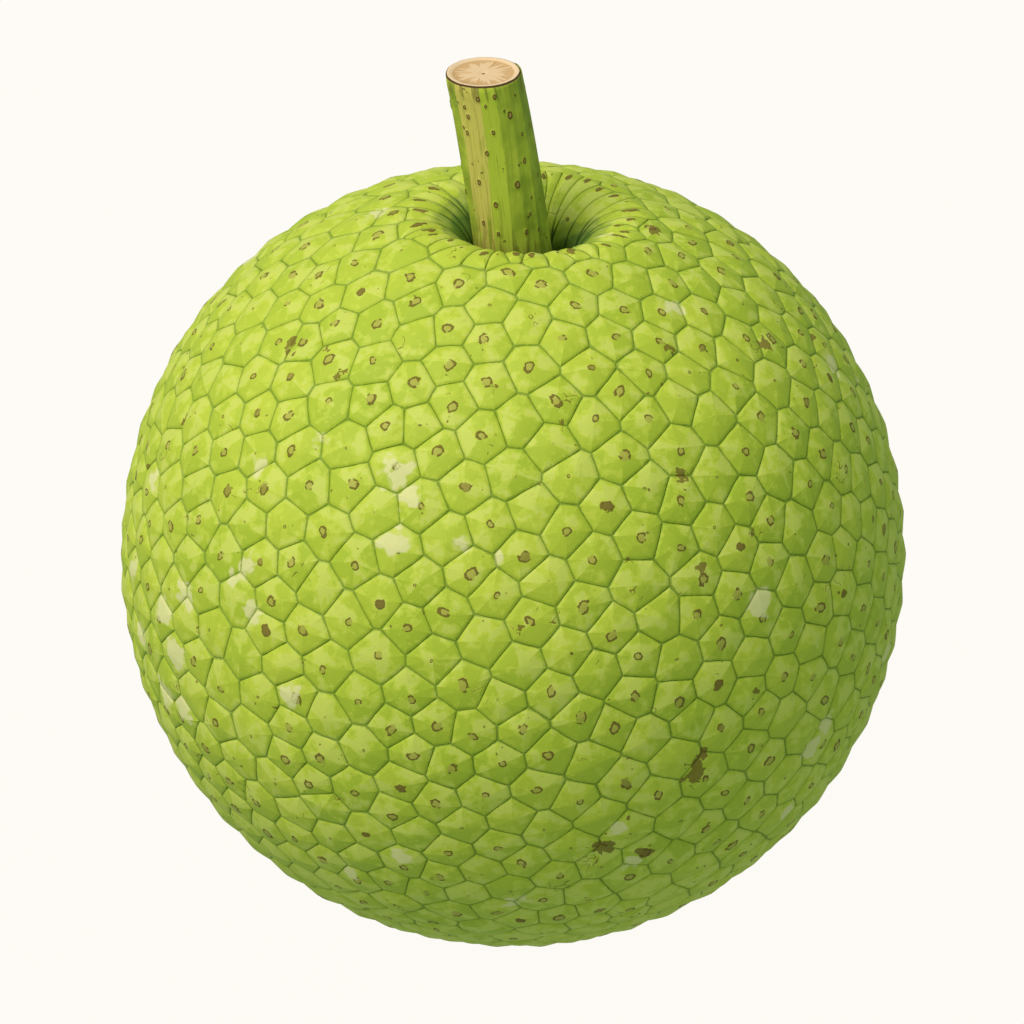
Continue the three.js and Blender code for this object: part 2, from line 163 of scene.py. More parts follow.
class Sheet:
    """Node tree of one material, which is painted coat by coat."""

    def __init__(self, name: str, base: Colour = (0.0, 0.0, 0.0)) -> None:
        """Start a material that holds only its shader and output.

        Args:
            name: Name of the material.
            base: Colour under all coats.
        """
        self.material = bpy.data.materials.new(name)
        self.material.use_nodes = True
        self.tree = self.material.node_tree
        self.tree.nodes.clear()
        self.shader = self.node("BsdfPrincipled")
        self.node("OutputMaterial", {"Surface": self.shader.outputs["BSDF"]})
        self.colour: Socket | Colour = base

    def node(
        self, kind: str, inputs: dict[int | str, object] | None = None, **settings: object
    ) -> bpy.types.Node:
        """Add a node.

        Args:
            kind: Type of the node, without its prefix.
            inputs: Constants and sockets for its inputs, by number or name.
            **settings: Settings of the node.

        Returns:
            The node.
        """
        node = self.tree.nodes.new(f"ShaderNode{kind}")
        for name, value in settings.items():
            setattr(node, name, value)
        for name, value in (inputs or {}).items():
            self.feed(node.inputs[name], value)
        return node

    def feed(self, socket: Socket, value: object) -> None:
        """Link a socket to another, or set its constant.

        Args:
            socket: Input that is fed.
            value: Socket, number, vector or colour.
        """
        if isinstance(value, Socket):
            self.tree.links.new(value, socket)
        elif socket.type == "RGBA":
            socket.default_value = (*value, 1.0)
        else:
            socket.default_value = value

    def attribute(self, name: str, output: str = "Fac") -> Socket:
        """Number, or with the output Vector a vector, stored on the mesh under a name."""
        return self.node("Attribute", attribute_name=name).outputs[output]

    def uv(self, name: str) -> Socket:
        """UV map of the piece."""
        return self.node("UVMap", uv_map=name).outputs["UV"]

    def math(self, operation: str, *parts: Number) -> Socket:
        """Join numbers by one operation, from the first to the last.

        Args:
            operation: Name of the operation, such as MULTIPLY.
            *parts: Numbers that it joins; one alone for an operation that takes only one.

        Returns:
            The result.
        """
        result, *rest = parts
        for part in rest or [0.0]:
            result = self.node("Math", {0: result, 1: part}, operation=operation).outputs[0]
        return result

    def total(self, *terms: tuple[Number, float], base: float = 0.0) -> Socket:
        """Weighted sum.

        Args:
            *terms: Each number with its weight.
            base: What the sum starts from.

        Returns:
            The sum.
        """
        parts = [base] if base else []
        for part, weight in terms:
            parts.append(part if weight == 1 else self.math("MULTIPLY", part, weight))
        return self.math("ADD", *parts)

    def step(
        self, value: Number, low: float, high: float, start: float = 0.0, end: float = 1.0
    ) -> Socket:
        """Smooth step of a number.

        Args:
            value: Number that is read.
            low: Input where the step begins.
            high: Input where it ends; it may lie below low.
            start: Output at low.
            end: Output at high.

        Returns:
            Output of the step.
        """
        if low > high:
            low, high, start, end = high, low, end, start
        inputs = dict(enumerate((value, low, high, start, end)))
        node = self.node("MapRange", inputs, interpolation_type="SMOOTHSTEP")
        return node.outputs["Result"]

    def noise(
        self,
        size: float,
        where: Socket | None = None,
        detail: float = 2.0,
        offset: float = 0.0,
        stretch: Colour = (1.0, 1.0, 1.0),
    ) -> Socket:
        """Cloudy noise from 0 to 1.

        Args:
            size: Size of one cloud, in metres, or in units of the given vector.
            where: Vector that places the noise; Object coordinates if none is given.
            detail: Octaves of finer noise laid over it.
            offset: Shift that sets one noise apart from another.
            stretch: Length of a cloud along each axis.

        Returns:
            Value of the noise.
        """
        place = {
            "Vector": where or self.node("TexCoord").outputs["Object"],
            "Location": (offset, offset * 0.7, -offset),
            "Scale": tuple(1 / (size * part) for part in stretch),
        }
        mapped = self.node("Mapping", place).outputs["Vector"]
        return self.node("TexNoise", {"Vector": mapped, "Scale": 1.0, "Detail": detail}).outputs[0]

    def length(self, where: Socket) -> Socket:
        """Length of a vector."""
        return self.node("VectorMath", {0: where}, operation="LENGTH").outputs["Value"]

    def bearing(self, where: Socket) -> Socket:
        """Vector of length 1 that points the same way."""
        return self.node("VectorMath", {0: where}, operation="NORMALIZE").outputs["Vector"]

    def paint(self, colour: Colour, cover: Number, strength: float = 1.0) -> None:
        """Lay a coat of colour over what is painted so far.

        Args:
            colour: Colour of the coat.
            cover: Where it lies, from 0 to 1.
            strength: Share of what is below that it hides.
        """
        share = self.math("MULTIPLY", cover, strength)
        inputs = {0: share, 6: self.colour, 7: colour}
        self.colour = self.node("Mix", inputs, data_type="RGBA").outputs[2]

    def finish(
        self, roughness: Number, height: Socket, depth: float, specular: float
    ) -> bpy.types.Material:
        """Connect the shader and give the material back.

        Args:
            roughness: Roughness.
            height: Relief from 0 to 1 that is too fine for the mesh.
            depth: Height of that relief, in metres.
            specular: Specular level, the same all over.

        Returns:
            The finished material.
        """
        bump = self.node("Bump", {"Strength": 1.0, "Distance": depth, "Height": height})
        self.feed(self.shader.inputs["Normal"], bump.outputs["Normal"])
        self.feed(self.shader.inputs["Base Color"], self.colour)
        self.feed(self.shader.inputs["Roughness"], roughness)
        self.feed(self.shader.inputs["Specular IOR Level"], specular)
        return self.material


class SkinSheet(Sheet):
    """Node tree of the skin, with the numbers that several of its coats read."""

    def __init__(self, base: Colour) -> None:
        """Read the mesh's attributes, and make the noises in common.

        Args:
            base: Colour under all coats.
        """
        super().__init__("breadfruit_skin", base)
        self.border = self.attribute("border_mm")
        self.tone = self.attribute("scale_tone")
        # tone of each facet: half random, half painted light and shade by how far it faces up
        self.facet = self.attribute("facet_tone_and_light")
        # depth of the painted shade in the hollow, from 0 to 1
        self.hollow = self.attribute("hollow")
        self.patch = self.noise(0.0036, detail=2.5, offset=3.1)
        self.blot = self.noise(0.0015, detail=3.0, offset=7.7)
        self.grain = self.noise(0.0005, detail=3.0, offset=1.3)


@dataclass(frozen=True)
class SkinFinish:
    """Green skin: mottled scales with painted light and shade on their facets, dark grooves of
    painted shade, painted shade in the hollow, brown scars, stains and dried latex.
    """

    # pale and light: lighter greens of the patches, which lean to the facets that face up as
    # painted light
    pale: Colour = linear(208, 213, 118)
    light: Colour = linear(201, 211, 84)
    middle: Colour = linear(184, 198, 66)
    # deep: the skin's own deeper green, also laid as painted shade on facets that face down and
    # along the scales' edges
    deep: Colour = linear(164, 185, 54)
    # groove: dark line of painted shade in the grooves
    groove: Colour = linear(112, 139, 46)
    # painted shade of the hollow round the stalk
    hollow: Colour = linear(66, 110, 44)
    # painted shade in the folds between the scales deep in the hollow
    fold_shade: Colour = linear(34, 66, 30)
    scar_rim: Colour = linear(110, 88, 38)
    scar_bed: Colour = linear(168, 160, 76)
    latex: Colour = linear(219, 215, 160)
    specular: float = 0.20
    relief: float = 0.00016

    def material(self) -> bpy.types.Material:
        """Make the skin's material.

        Returns:
            The material, which reads the attributes that the skin's mesh carries.
        """
        sheet = SkinSheet(self.deep)
        self.mottle(sheet)
        line = self.draw_grooves(sheet)
        self.shade_hollow(sheet)
        ring = self.add_scars(sheet)
        stain = self.add_stains(sheet)
        latex = self.add_latex(sheet, line)
        dry = sheet.math("MAXIMUM", ring, stain, latex)
        roughness = sheet.total((sheet.grain, 0.16), (dry, 0.2), base=0.50)
        height = sheet.total((sheet.grain, 0.20), (sheet.blot, 0.25), (ring, 0.8))
        return sheet.finish(roughness, height, self.relief, self.specular)

    def mottle(self, sheet: SkinSheet) -> None:
        """Lay the greens: slow drifts, painted shade on facets that face down, light patches that
        lean to facets that face up as painted light, and small blots.

        Args:
            sheet: Skin that is painted.
        """
        drift = sheet.noise(0.034, detail=2.0)
        warm = sheet.total((sheet.tone, 0.35), (drift, 0.9))
        sheet.paint(self.middle, sheet.step(warm, 0.25, 0.95))
        # painted shade: facets that face down, and some at random, turn deeper green
        sheet.paint(self.deep, sheet.step(sheet.facet, 0.42, 0.12), 0.32)
        # painted light: the light patches lean to the facets that face up
        lift = sheet.total((sheet.facet, 0.22), (sheet.patch, 0.9))
        sheet.paint(self.light, sheet.step(lift, 0.548, 0.560), 0.44)
        sheet.paint(self.pale, sheet.step(lift, 0.615, 0.625), 0.42)
        sheet.paint(self.light, sheet.step(sheet.blot, 0.60, 0.62), 0.25)
        sheet.paint(self.deep, sheet.step(sheet.blot, 0.37, 0.35), 0.30)

    def draw_grooves(self, sheet: SkinSheet) -> Socket:
        """Paint shade along the scales' edges, and draw the ragged line of the groove between them
        in painted shade.

        Args:
            sheet: Skin that is painted.

        Returns:
            Cover of the line.
        """
        # painted shade: the scales' edges darken towards the grooves
        sheet.paint(self.deep, sheet.step(sheet.border, 0.8, 0.2), 0.25)
        breadth = sheet.noise(0.005, detail=1.0, offset=2.2)
        ragged = sheet.total((sheet.border, 1), (breadth, -0.20), (sheet.grain, -0.12))
        line = sheet.step(ragged, -0.01, -0.06, 0.0, 0.66)
        # painted shade: dark ragged line down the groove
        sheet.paint(self.groove, line)
        return line

    def shade_hollow(self, sheet: SkinSheet) -> None:
        """Paint shade into the hollow in two ragged bands, and paint shade into the folds between
        its scales.

        Args:
            sheet: Skin that is painted.
        """
        shade = sheet.total((sheet.hollow, 1), (sheet.patch, 0.6), base=-0.3)
        bands = sheet.total((sheet.step(shade, 0.22, 0.36), 1), (sheet.step(shade, 0.52, 0.70), 1))
        # painted shade of the hollow
        sheet.paint(self.hollow, bands, 0.40)
        edge = sheet.step(sheet.border, 0.5, 0.1)
        fold_shade = sheet.math("MULTIPLY", edge, sheet.step(sheet.hollow, 0.1, 0.5))
        # painted shade in the folds
        sheet.paint(self.fold_shade, fold_shade, 0.7)

    def add_scars(self, sheet: SkinSheet) -> Socket:
        """Paint the scar of each scale: a pale bed in a broken ring, or brown all over.

        Args:
            sheet: Skin that is painted.

        Returns:
            Cover of the brown.
        """
        wobble = sheet.noise(0.0010, detail=2.0, offset=5.2)
        reach = sheet.total((sheet.length(sheet.uv("scar_map")), 1), (wobble, 1.1), base=-0.55)
        gap = sheet.step(sheet.noise(0.0017, detail=1.0, offset=9.4), 0.42, 0.47)
        bed = sheet.step(reach, 0.96, 0.84)
        rim = (sheet.step(reach, 0.64, 0.76), sheet.step(reach, 1.15, 1.03))
        brown, darkest = sheet.step(sheet.tone, 0.85, 0.87), sheet.step(sheet.tone, 0.955, 0.965)
        full = sheet.math("MULTIPLY", bed, sheet.total((brown, 0.50), (darkest, 0.40)))
        ring = sheet.math("MAXIMUM", sheet.math("MULTIPLY", *rim, gap), full)
        sheet.paint(self.scar_bed, bed, 0.72)
        sheet.paint(self.scar_rim, ring, 0.88)
        return ring

    def add_stains(self, sheet: SkinSheet) -> Socket:
        """Paint the torn brown stains, thin cracks and specks.

        Args:
            sheet: Skin that is painted.

        Returns:
            Cover of the brown.
        """
        torn = ((sheet.patch, 1.3), (sheet.blot, 1.5))
        stain = sheet.step(sheet.total((sheet.attribute("stain"), 1), *torn, base=-1.4), 0.60, 0.64)
        wisp = sheet.math("ABSOLUTE", sheet.total((sheet.noise(0.0045, offset=12.0), 1), base=-0.5))
        near = sheet.step(sheet.noise(0.007, detail=1.0, offset=15.0), 0.67, 0.70)
        crack = sheet.math("MULTIPLY", near, sheet.step(wisp, 0.012, 0.005))
        speck = sheet.step(sheet.noise(0.0013, detail=0.0, offset=21.0), 0.84, 0.87)
        stain = sheet.math("MAXIMUM", stain, crack, speck)
        sheet.paint(self.scar_rim, stain, 0.8)
        return stain

    def add_latex(self, sheet: SkinSheet, line: Socket) -> Socket:
        """Paint the dried latex: flakes in a thin film, with the grooves left open.

        Args:
            sheet: Skin that is painted.
            line: Cover of the line in the grooves.

        Returns:
            Cover of the latex.
        """
        around = sheet.attribute("latex")
        cloud = sheet.noise(0.0024, detail=1.0, offset=27.0)
        flake = sheet.total((cloud, 1.5), (sheet.facet, 0.30), (around, 1), base=-0.9)
        film = sheet.step(flake, 0.46, 0.47, 0.0, 0.30)
        cover = sheet.math("MAXIMUM", film, sheet.step(flake, 0.60, 0.61, 0.0, 0.86))
        within = sheet.step(around, 0.10, 0.12)
        latex = sheet.math("MULTIPLY", cover, within, sheet.step(line, 0.72, 0.0, 0.35, 1.0))
        sheet.paint(self.latex, latex)
        return latex


@dataclass(frozen=True)
class BarkFinish:
    """Green bark of the stalk, with flats lighter or darker as painted light and shade, a tan
    weathered band, streaks and raised pores.
    """

    green: Colour = linear(188, 202, 70)
    dark: Colour = linear(138, 156, 50)
    tan: Colour = linear(212, 196, 104)
    streak: Colour = linear(112, 104, 44)
    earth: Colour = linear(146, 136, 58)
    pore_rim: Colour = linear(92, 62, 32)
    pore_bed: Colour = linear(176, 150, 84)
    specular: float = 0.15
    relief: float = 0.00010

    def material(self) -> bpy.types.Material:
        """Make the bark's material.

        Returns:
            The material, which reads the straightened stalk and its attributes.
        """
        sheet = Sheet("stalk_bark", self.dark)
        straight = sheet.attribute("straight", "Vector")
        up = sheet.attribute("height")
        fibre = sheet.noise(1.0, straight, 3.0, stretch=(0.0007, 0.0007, 0.016))
        streaky = sheet.noise(1.0, straight, 2.0, 4.0, stretch=(0.0009, 0.0009, 0.007))
        drip = sheet.noise(1.0, straight, 1.0, 8.0, stretch=(0.0011, 0.0011, 0.020))
        cloud = sheet.noise(0.006, detail=2.0, offset=2.0)
        low = sheet.step(up, 0.56, 0.40)
        tone = sheet.total((sheet.attribute("flat_tone_and_light"), 0.6), (cloud, 1), (low, 0.28))
        # painted light and shade: each flat's green follows its tone, lightest on the front flat
        # that faces the key light
        sheet.paint(self.green, sheet.step(tone, 0.45, 1.0))
        fade = (sheet.step(up, 0.70, 0.44), -0.70)
        weather = ((fibre, 1.6), (drip, 1.4), (sheet.attribute("weathered"), 1), fade)
        sheet.paint(self.tan, sheet.step(sheet.total(*weather, base=-1.5), 0.36, 0.60), 0.90)
        sheet.paint(self.dark, sheet.step(streaky, 0.60, 0.66), 0.30)
        self.streak_foot(sheet, up, drip, streaky)
        thread = sheet.noise(1.0, straight, 1.0, 17.0, stretch=(0.0004, 0.0004, 0.011))
        sheet.paint(self.streak, sheet.step(thread, 0.62, 0.66), 0.28)
        self.add_specks(sheet)
        drips = sheet.math("MULTIPLY", sheet.step(drip, 0.56, 0.60), sheet.step(up, 0.93, 0.965))
        sheet.paint(self.streak, drips, 0.6)
        self.add_pores(sheet)
        roughness = sheet.total((fibre, 0.2), base=0.55)
        height = sheet.total((fibre, 0.6), (streaky, 0.4))
        return sheet.finish(roughness, height, self.relief, self.specular)

    def streak_foot(self, sheet: Sheet, up: Socket, drip: Socket, streaky: Socket) -> None:
        """Paint the earthy foot of the stalk, and the streaks above it.

        Args:
            sheet: Bark that is painted.
            up: Height on the stalk, from 0 to 1.
            drip: Noise of the long drips.
            streaky: Noise of the streaks.
        """
        foot = sheet.step(sheet.total((up, 1), (drip, -0.16)), 0.375, 0.315)
        sheet.paint(self.earth, foot, 0.55)
        lines = sheet.math("MULTIPLY", sheet.step(streaky, 0.52, 0.57), sheet.step(up, 0.58, 0.42))
        sheet.paint(self.streak, lines, 0.50)

    def add_specks(self, sheet: Sheet) -> None:
        """Paint dark specks in small crowds.

        Args:
            sheet: Bark that is painted.
        """
        crowd = sheet.step(sheet.noise(0.005, detail=1.0, offset=13.0), 0.52, 0.58)
        grain = sheet.step(sheet.noise(0.0011, offset=19.0), 0.66, 0.69)
        sheet.paint(self.pore_rim, sheet.math("MULTIPLY", crowd, grain), 0.7)

    def add_pores(self, sheet: Sheet) -> None:
        """Paint the pores: a dark rim round a pale bed.

        Args:
            sheet: Bark that is painted.
        """
        wobble = sheet.noise(0.0004, detail=2.0, offset=6.0)
        reach = sheet.total((sheet.attribute("pore"), 1), (wobble, 0.8), base=-0.40)
        sheet.paint(self.pore_rim, sheet.step(reach, 1.08, 0.96), 0.9)
        sheet.paint(self.pore_bed, sheet.step(reach, 0.60, 0.50), 0.8)


@dataclass(frozen=True)
class CutFinish:
    """Fresh cut face of the stalk: thin rind, pale ring, tan ring, rays and a dark pith."""

    rind: Colour = linear(84, 62, 36)
    cream: Colour = linear(234, 202, 170)
    tan: Colour = linear(206, 166, 122)
    wood: Colour = linear(228, 194, 160)
    ray: Colour = linear(198, 154, 102)
    pith: Colour = linear(104, 76, 44)
    specular: float = 0.15
    relief: float = 0.00008

    def material(self) -> bpy.types.Material:
        """Make the cut face's material.

        Returns:
            The material, which reads the stalk's cut map, where the rim is at 1.
        """
        sheet = Sheet("stalk_cut", self.wood)
        cut = sheet.uv("cut_map")
        reach = sheet.length(cut)
        ragged = sheet.noise(0.0012, detail=3.0)
        star = sheet.noise(0.22, sheet.bearing(cut), detail=2.0)
        crack = sheet.noise(0.30, sheet.bearing(cut), detail=1.0, offset=4.0)
        edge = sheet.total((reach, 1), (star, -1.6), (ragged, -0.25), base=0.8)
        sheet.paint(self.tan, sheet.step(edge, 0.44, 0.56))
        rays = sheet.math("MULTIPLY", sheet.step(crack, 0.60, 0.64), sheet.step(reach, 0.2, 0.4))
        sheet.paint(self.ray, rays, 0.5)
        sheet.paint(self.cream, sheet.step(reach, 0.81, 0.85))
        sheet.paint(self.rind, sheet.step(reach, 0.956, 0.964))
        pith = sheet.total((reach, 1), (ragged, 0.06))
        sheet.paint(self.pith, sheet.step(pith, 0.105, 0.085))
        roughness = sheet.total((ragged, 0.2), base=0.6)
        height = sheet.total((ragged, 1), (rays, 0.5))
        return sheet.finish(roughness, height, self.relief, self.specular)


@dataclass
class Profile:
    """Outline of the fruit turned round its axis, by arc length from its lowest point.

    Attributes:
        rim_reach: Radii between which the shift and the tilt of the rim fade out.
        widths: Width of the scales on the body, and near the rim.
        stretches: Their length over their width on the body, near the rim and in the hollow.
        hollow_relief: Their relief in the hollow, as a share of the body's.
        near_rim: Arc lengths past the crest over which the scales change towards the rim.
        over_rim: Arc lengths past the crest over which they grow long.
        down_wall: Arc lengths past the crest over which their relief fades.
        step: Length of one step of the walk.
    """

    body_radius: float = 79.6
    shoulder_swell: float = 0.0135
    rim_angle: float = math.radians(18.6)
    rim_radius: float = 11.5
    wall_depth: float = 8.0
    floor_fillet: float = 3.0
    rim_shift: float = 2.0
    rim_tilt: float = 0.03
    rim_reach: tuple[float, float] = (20.0, 44.0)
    socket_radius: float = 8.2
    socket_foot: float = 44.0
    widths: tuple[float, float] = (9.2, 8.8)
    stretches: tuple[float, float, float] = (1.0, 1.08, 3.0)
    hollow_relief: float = 0.45
    near_rim: tuple[float, float] = (-60.0, -15.0)
    over_rim: tuple[float, float] = (0.0, 6.0)
    down_wall: tuple[float, float] = (0.0, 14.0)
    step: float = 0.25

    def __post_init__(self) -> None:
        """Work out where each stretch of the profile begins."""
        self.rim_r = (self.body_radius - self.rim_radius) * math.sin(self.rim_angle)
        self.rim_z = (self.body_radius - self.rim_radius) * math.cos(self.rim_angle)
        self.throat = self.rim_r - self.rim_radius
        self.wall_foot = self.rim_z - self.wall_depth
        self.rim_start = self.body_radius * (math.pi - self.rim_angle)
        self.crest = self.rim_start + self.rim_radius * self.rim_angle
        self.wall_start = self.rim_start + self.rim_radius * (self.rim_angle + math.pi / 2)
        self.fillet_start = self.wall_start + self.wall_depth
        self.floor_start = self.fillet_start + self.floor_fillet * math.pi / 2
        self.end = self.floor_start + self.throat - self.floor_fillet

    def at(self, distance: np.ndarray) -> tuple[np.ndarray, ...]:
        """Points of the profile.

        Args:
            distance: Arc lengths from the lowest point.

        Returns:
            Radius, height, and the radial and upward parts of the outward normal.
        """
        s = np.asarray(distance, float)
        body = s / self.body_radius
        rim = self.rim_angle - (s - self.rim_start) / self.rim_radius
        bend = (s - self.fillet_start) / self.floor_fillet
        starts = (self.rim_start, self.wall_start, self.fillet_start, self.floor_start)
        before = [s < start for start in starts]
        nr = np.select(before, [np.sin(body), np.sin(rim), -1.0, -np.cos(bend)], 0.0)
        nz = np.select(before, [-np.cos(body), np.cos(rim), 0.0, np.sin(bend)], 1.0)
        fillet_r = self.throat - self.floor_fillet - self.floor_fillet * nr
        rim_r, rim_z = self.rim_r + self.rim_radius * nr, self.rim_z + self.rim_radius * nz
        wall_z = self.rim_z - (s - self.wall_start)
        fillet_z = self.wall_foot - self.floor_fillet * nz
        radii = [self.body_radius * nr, rim_r, self.throat, fillet_r]
        heights = [self.body_radius * nz, rim_z, wall_z, fillet_z]
        r = np.select(before, radii, np.maximum(0.0, self.end - s))
        z = np.select(before, heights, self.wall_foot - self.floor_fillet)
        return r, z, nr, nz

    def past_crest(self, distance: np.ndarray) -> np.ndarray:
        """Arc length past the highest ring of the rim."""
        return np.asarray(distance, float) - self.crest

    def scale_width(self, distance: np.ndarray) -> np.ndarray:
        """Width of the scales along the profile."""
        return blend(*self.widths, smooth(self.past_crest(distance), *self.near_rim))

    def scale_stretch(self, distance: np.ndarray) -> np.ndarray:
        """Length of the scales over their width along the profile.

        Args:
            distance: Arc lengths from the lowest point.

        Returns:
            Length over width at each.
        """
        past = self.past_crest(distance)
        body, rim, hollow = self.stretches
        outside = blend(body, rim, smooth(past, *self.near_rim))
        return blend(outside, hollow, smooth(past, *self.over_rim))

    def relief_share(self, distance: np.ndarray) -> np.ndarray:
        """Relief of the scales along the profile, as a share of the body's."""
        return blend(1.0, self.hollow_relief, smooth(self.past_crest(distance), *self.down_wall))

    def walk(self) -> tuple[np.ndarray, np.ndarray, np.ndarray]:
        """Walk the profile once.

        Returns:
            Arc lengths, the number of scales below each, and the angle each takes on the
            sphere where every scale is round.
        """
        begins = np.arange(0.0, self.end - 2 * self.step, self.step)
        middle = begins + self.step / 2
        r = self.at(middle)[0]
        width, stretch = self.scale_width(middle), self.scale_stretch(middle)
        hexagon = math.sqrt(3) / 2
        count = np.cumsum(2 * math.pi * r * self.step / (hexagon * width**2 * stretch))
        climb = self.step / (r * stretch)
        climb[0] = math.log(math.tan(self.step / self.body_radius / 2))
        angle = 2 * np.arctan(np.exp(np.cumsum(climb)))
        distance = np.concatenate([[0.0], begins + self.step, [self.end]])
        counts = np.concatenate([[0.0], count, count[-1:]])
        return distance, counts, np.concatenate([[0.0], angle, [math.pi]])


@dataclass
class StalkAxis:
    """Middle line of the stalk, leaning and bending towards -X."""

    top: float = 107.7
    root: float = 44.3
    bend_height: float = 68.1
    offset: float = 0.2
    lean: float = 0.123
    bend: float = 0.00168
    top_radius: float = 7.65
    foot_radius: float = 7.95

    def across(self, z: np.ndarray | float) -> np.ndarray | float:
        """Sideways position of the axis at a height."""
        rise = z - self.bend_height
        return self.offset - self.lean * rise - self.bend * rise * rise / 2

    def share(self, z: float) -> float:
        """Height on the stalk, from 0 at its foot to 1 at the cut."""
        return (z - self.root) / (self.top - self.root)

    def radius(self, z: float) -> float:
        """Radius of the stalk at a height, before its flats."""
        return blend(self.foot_radius, self.top_radius, self.share(z))

    def frame(self, z: float) -> tuple[Vector, Vector, Vector]:
        """Place and directions of the stalk at a height.

        Args:
            z: Height on the stalk.

        Returns:
            Its middle, the direction across it, and the direction along it.
        """
        slope = self.lean + self.bend * (z - self.bend_height)
        along = Vector((-slope, 0.0, 1.0)).normalized()
        return Vector((self.across(z), 0.0, z)), Vector((0, 1, 0)).cross(along), along


class Mark(Enum):
    """Kinds of blemish that lie on the skin."""

    LATEX = "latex"
    STAIN = "stain"


@dataclass(frozen=True)
class Blemishes:
    """Blemishes of one kind: those placed on the front, and those strewn over the back.

    Attributes:
        front: For each, its distances right of the middle and above it in the front view,
            as shares of the fruit's radius, and its own radius.
        strewn: Number of the strewn ones.
        seed: Seed that they are strewn by.
        highest: How far above and below the middle those reach, as a share of the radius.
        backward: How far they are moved to the back.
        smallest: Radius of the smallest.
        spread: What the largest has more.
    """

    front: tuple[tuple[float, float, float], ...]
    strewn: int
    seed: int
    highest: float = 0.85
    backward: float = 0.25
    smallest: float = 1.4
    spread: float = 1.8

    def spots(self) -> list[tuple[float, float, float, float]]:
        """Lay the blemishes.

        Returns:
            Direction of each from the middle of the body, and its radius.
        """
        spots = []
        sine, cosine = math.sin(VIEW_ELEVATION), math.cos(VIEW_ELEVATION)
        for across, up, size in self.front:
            depth = math.sqrt(max(0.0, 1 - across**2 - up**2))
            spots.append((across, up * sine - depth * cosine, up * cosine + depth * sine, size))
        draw = random_source(self.seed)
        for _ in range(self.strewn):
            z = (draw() * 2 - 1) * self.highest
            turn = draw() * math.pi
            x, y = (math.sqrt(1 - z * z) * part for part in (math.cos(turn), math.sin(turn)))
            spots.append((x, y + self.backward, z, self.smallest + self.spread * draw()))
        return spots


LATEX = Blemishes(
    front=(
        (-0.28, 0.20, 3.4), (-0.25, 0.14, 2.4), (-0.30, 0.03, 3.0), (-0.12, 0.02, 2.0),
        (0.61, -0.12, 3.0), (-0.66, -0.03, 2.8), (-0.70, -0.06, 2.2), (-0.82, -0.10, 3.0),
        (-0.65, -0.14, 2.6), (-0.88, -0.14, 2.6), (-0.85, -0.25, 3.4), (-0.88, -0.34, 3.2),
        (-0.83, -0.39, 2.6), (-0.94, -0.21, 2.6), (-0.96, -0.04, 2.6), (-0.55, -0.36, 2.8),
        (-0.28, -0.75, 2.4), (-0.41, -0.80, 2.0), (0.01, -0.87, 2.4), (0.30, -0.77, 2.0),
        (0.26, -0.68, 1.8), (0.79, -0.43, 2.2), (0.75, -0.49, 2.2), (0.95, -0.25, 2.4),
        (0.69, -0.65, 2.2), (-0.47, 0.29, 1.8), (-0.62, 0.22, 2.2), (-0.90, 0.19, 2.2),
        (-0.34, 0.86, 2.6), (0.23, 0.82, 1.8), (0.40, 0.61, 2.6), (0.80, 0.47, 2.4),
        (0.86, 0.45, 2.0), (-0.03, -0.01, 1.6),
    ),
    strewn=34,
    seed=91,
)
STAINS = Blemishes(
    front=(
        (0.45, -0.54, 3.0), (0.47, -0.50, 1.8), (0.22, -0.73, 2.4), (0.33, -0.74, 2.0),
        (0.62, 0.52, 2.4), (0.38, 0.50, 2.0), (0.41, 0.19, 1.6), (0.75, 0.54, 1.6),
        (0.35, 0.81, 1.8), (-0.55, 0.52, 2.4), (-0.46, 0.50, 1.6), (-0.42, 0.44, 1.8),
        (-0.82, 0.33, 1.4), (-0.92, 0.22, 1.4), (-0.75, 0.65, 1.4), (0.46, -0.03, 1.6),
        (0.60, -0.34, 1.4), (0.01, -0.18, 1.6), (-0.37, 0.18, 1.4), (0.19, 0.34, 1.2),
    ),
    strewn=20,
    seed=57,
)
BLEMISHES = {Mark.LATEX: LATEX, Mark.STAIN: STAINS}


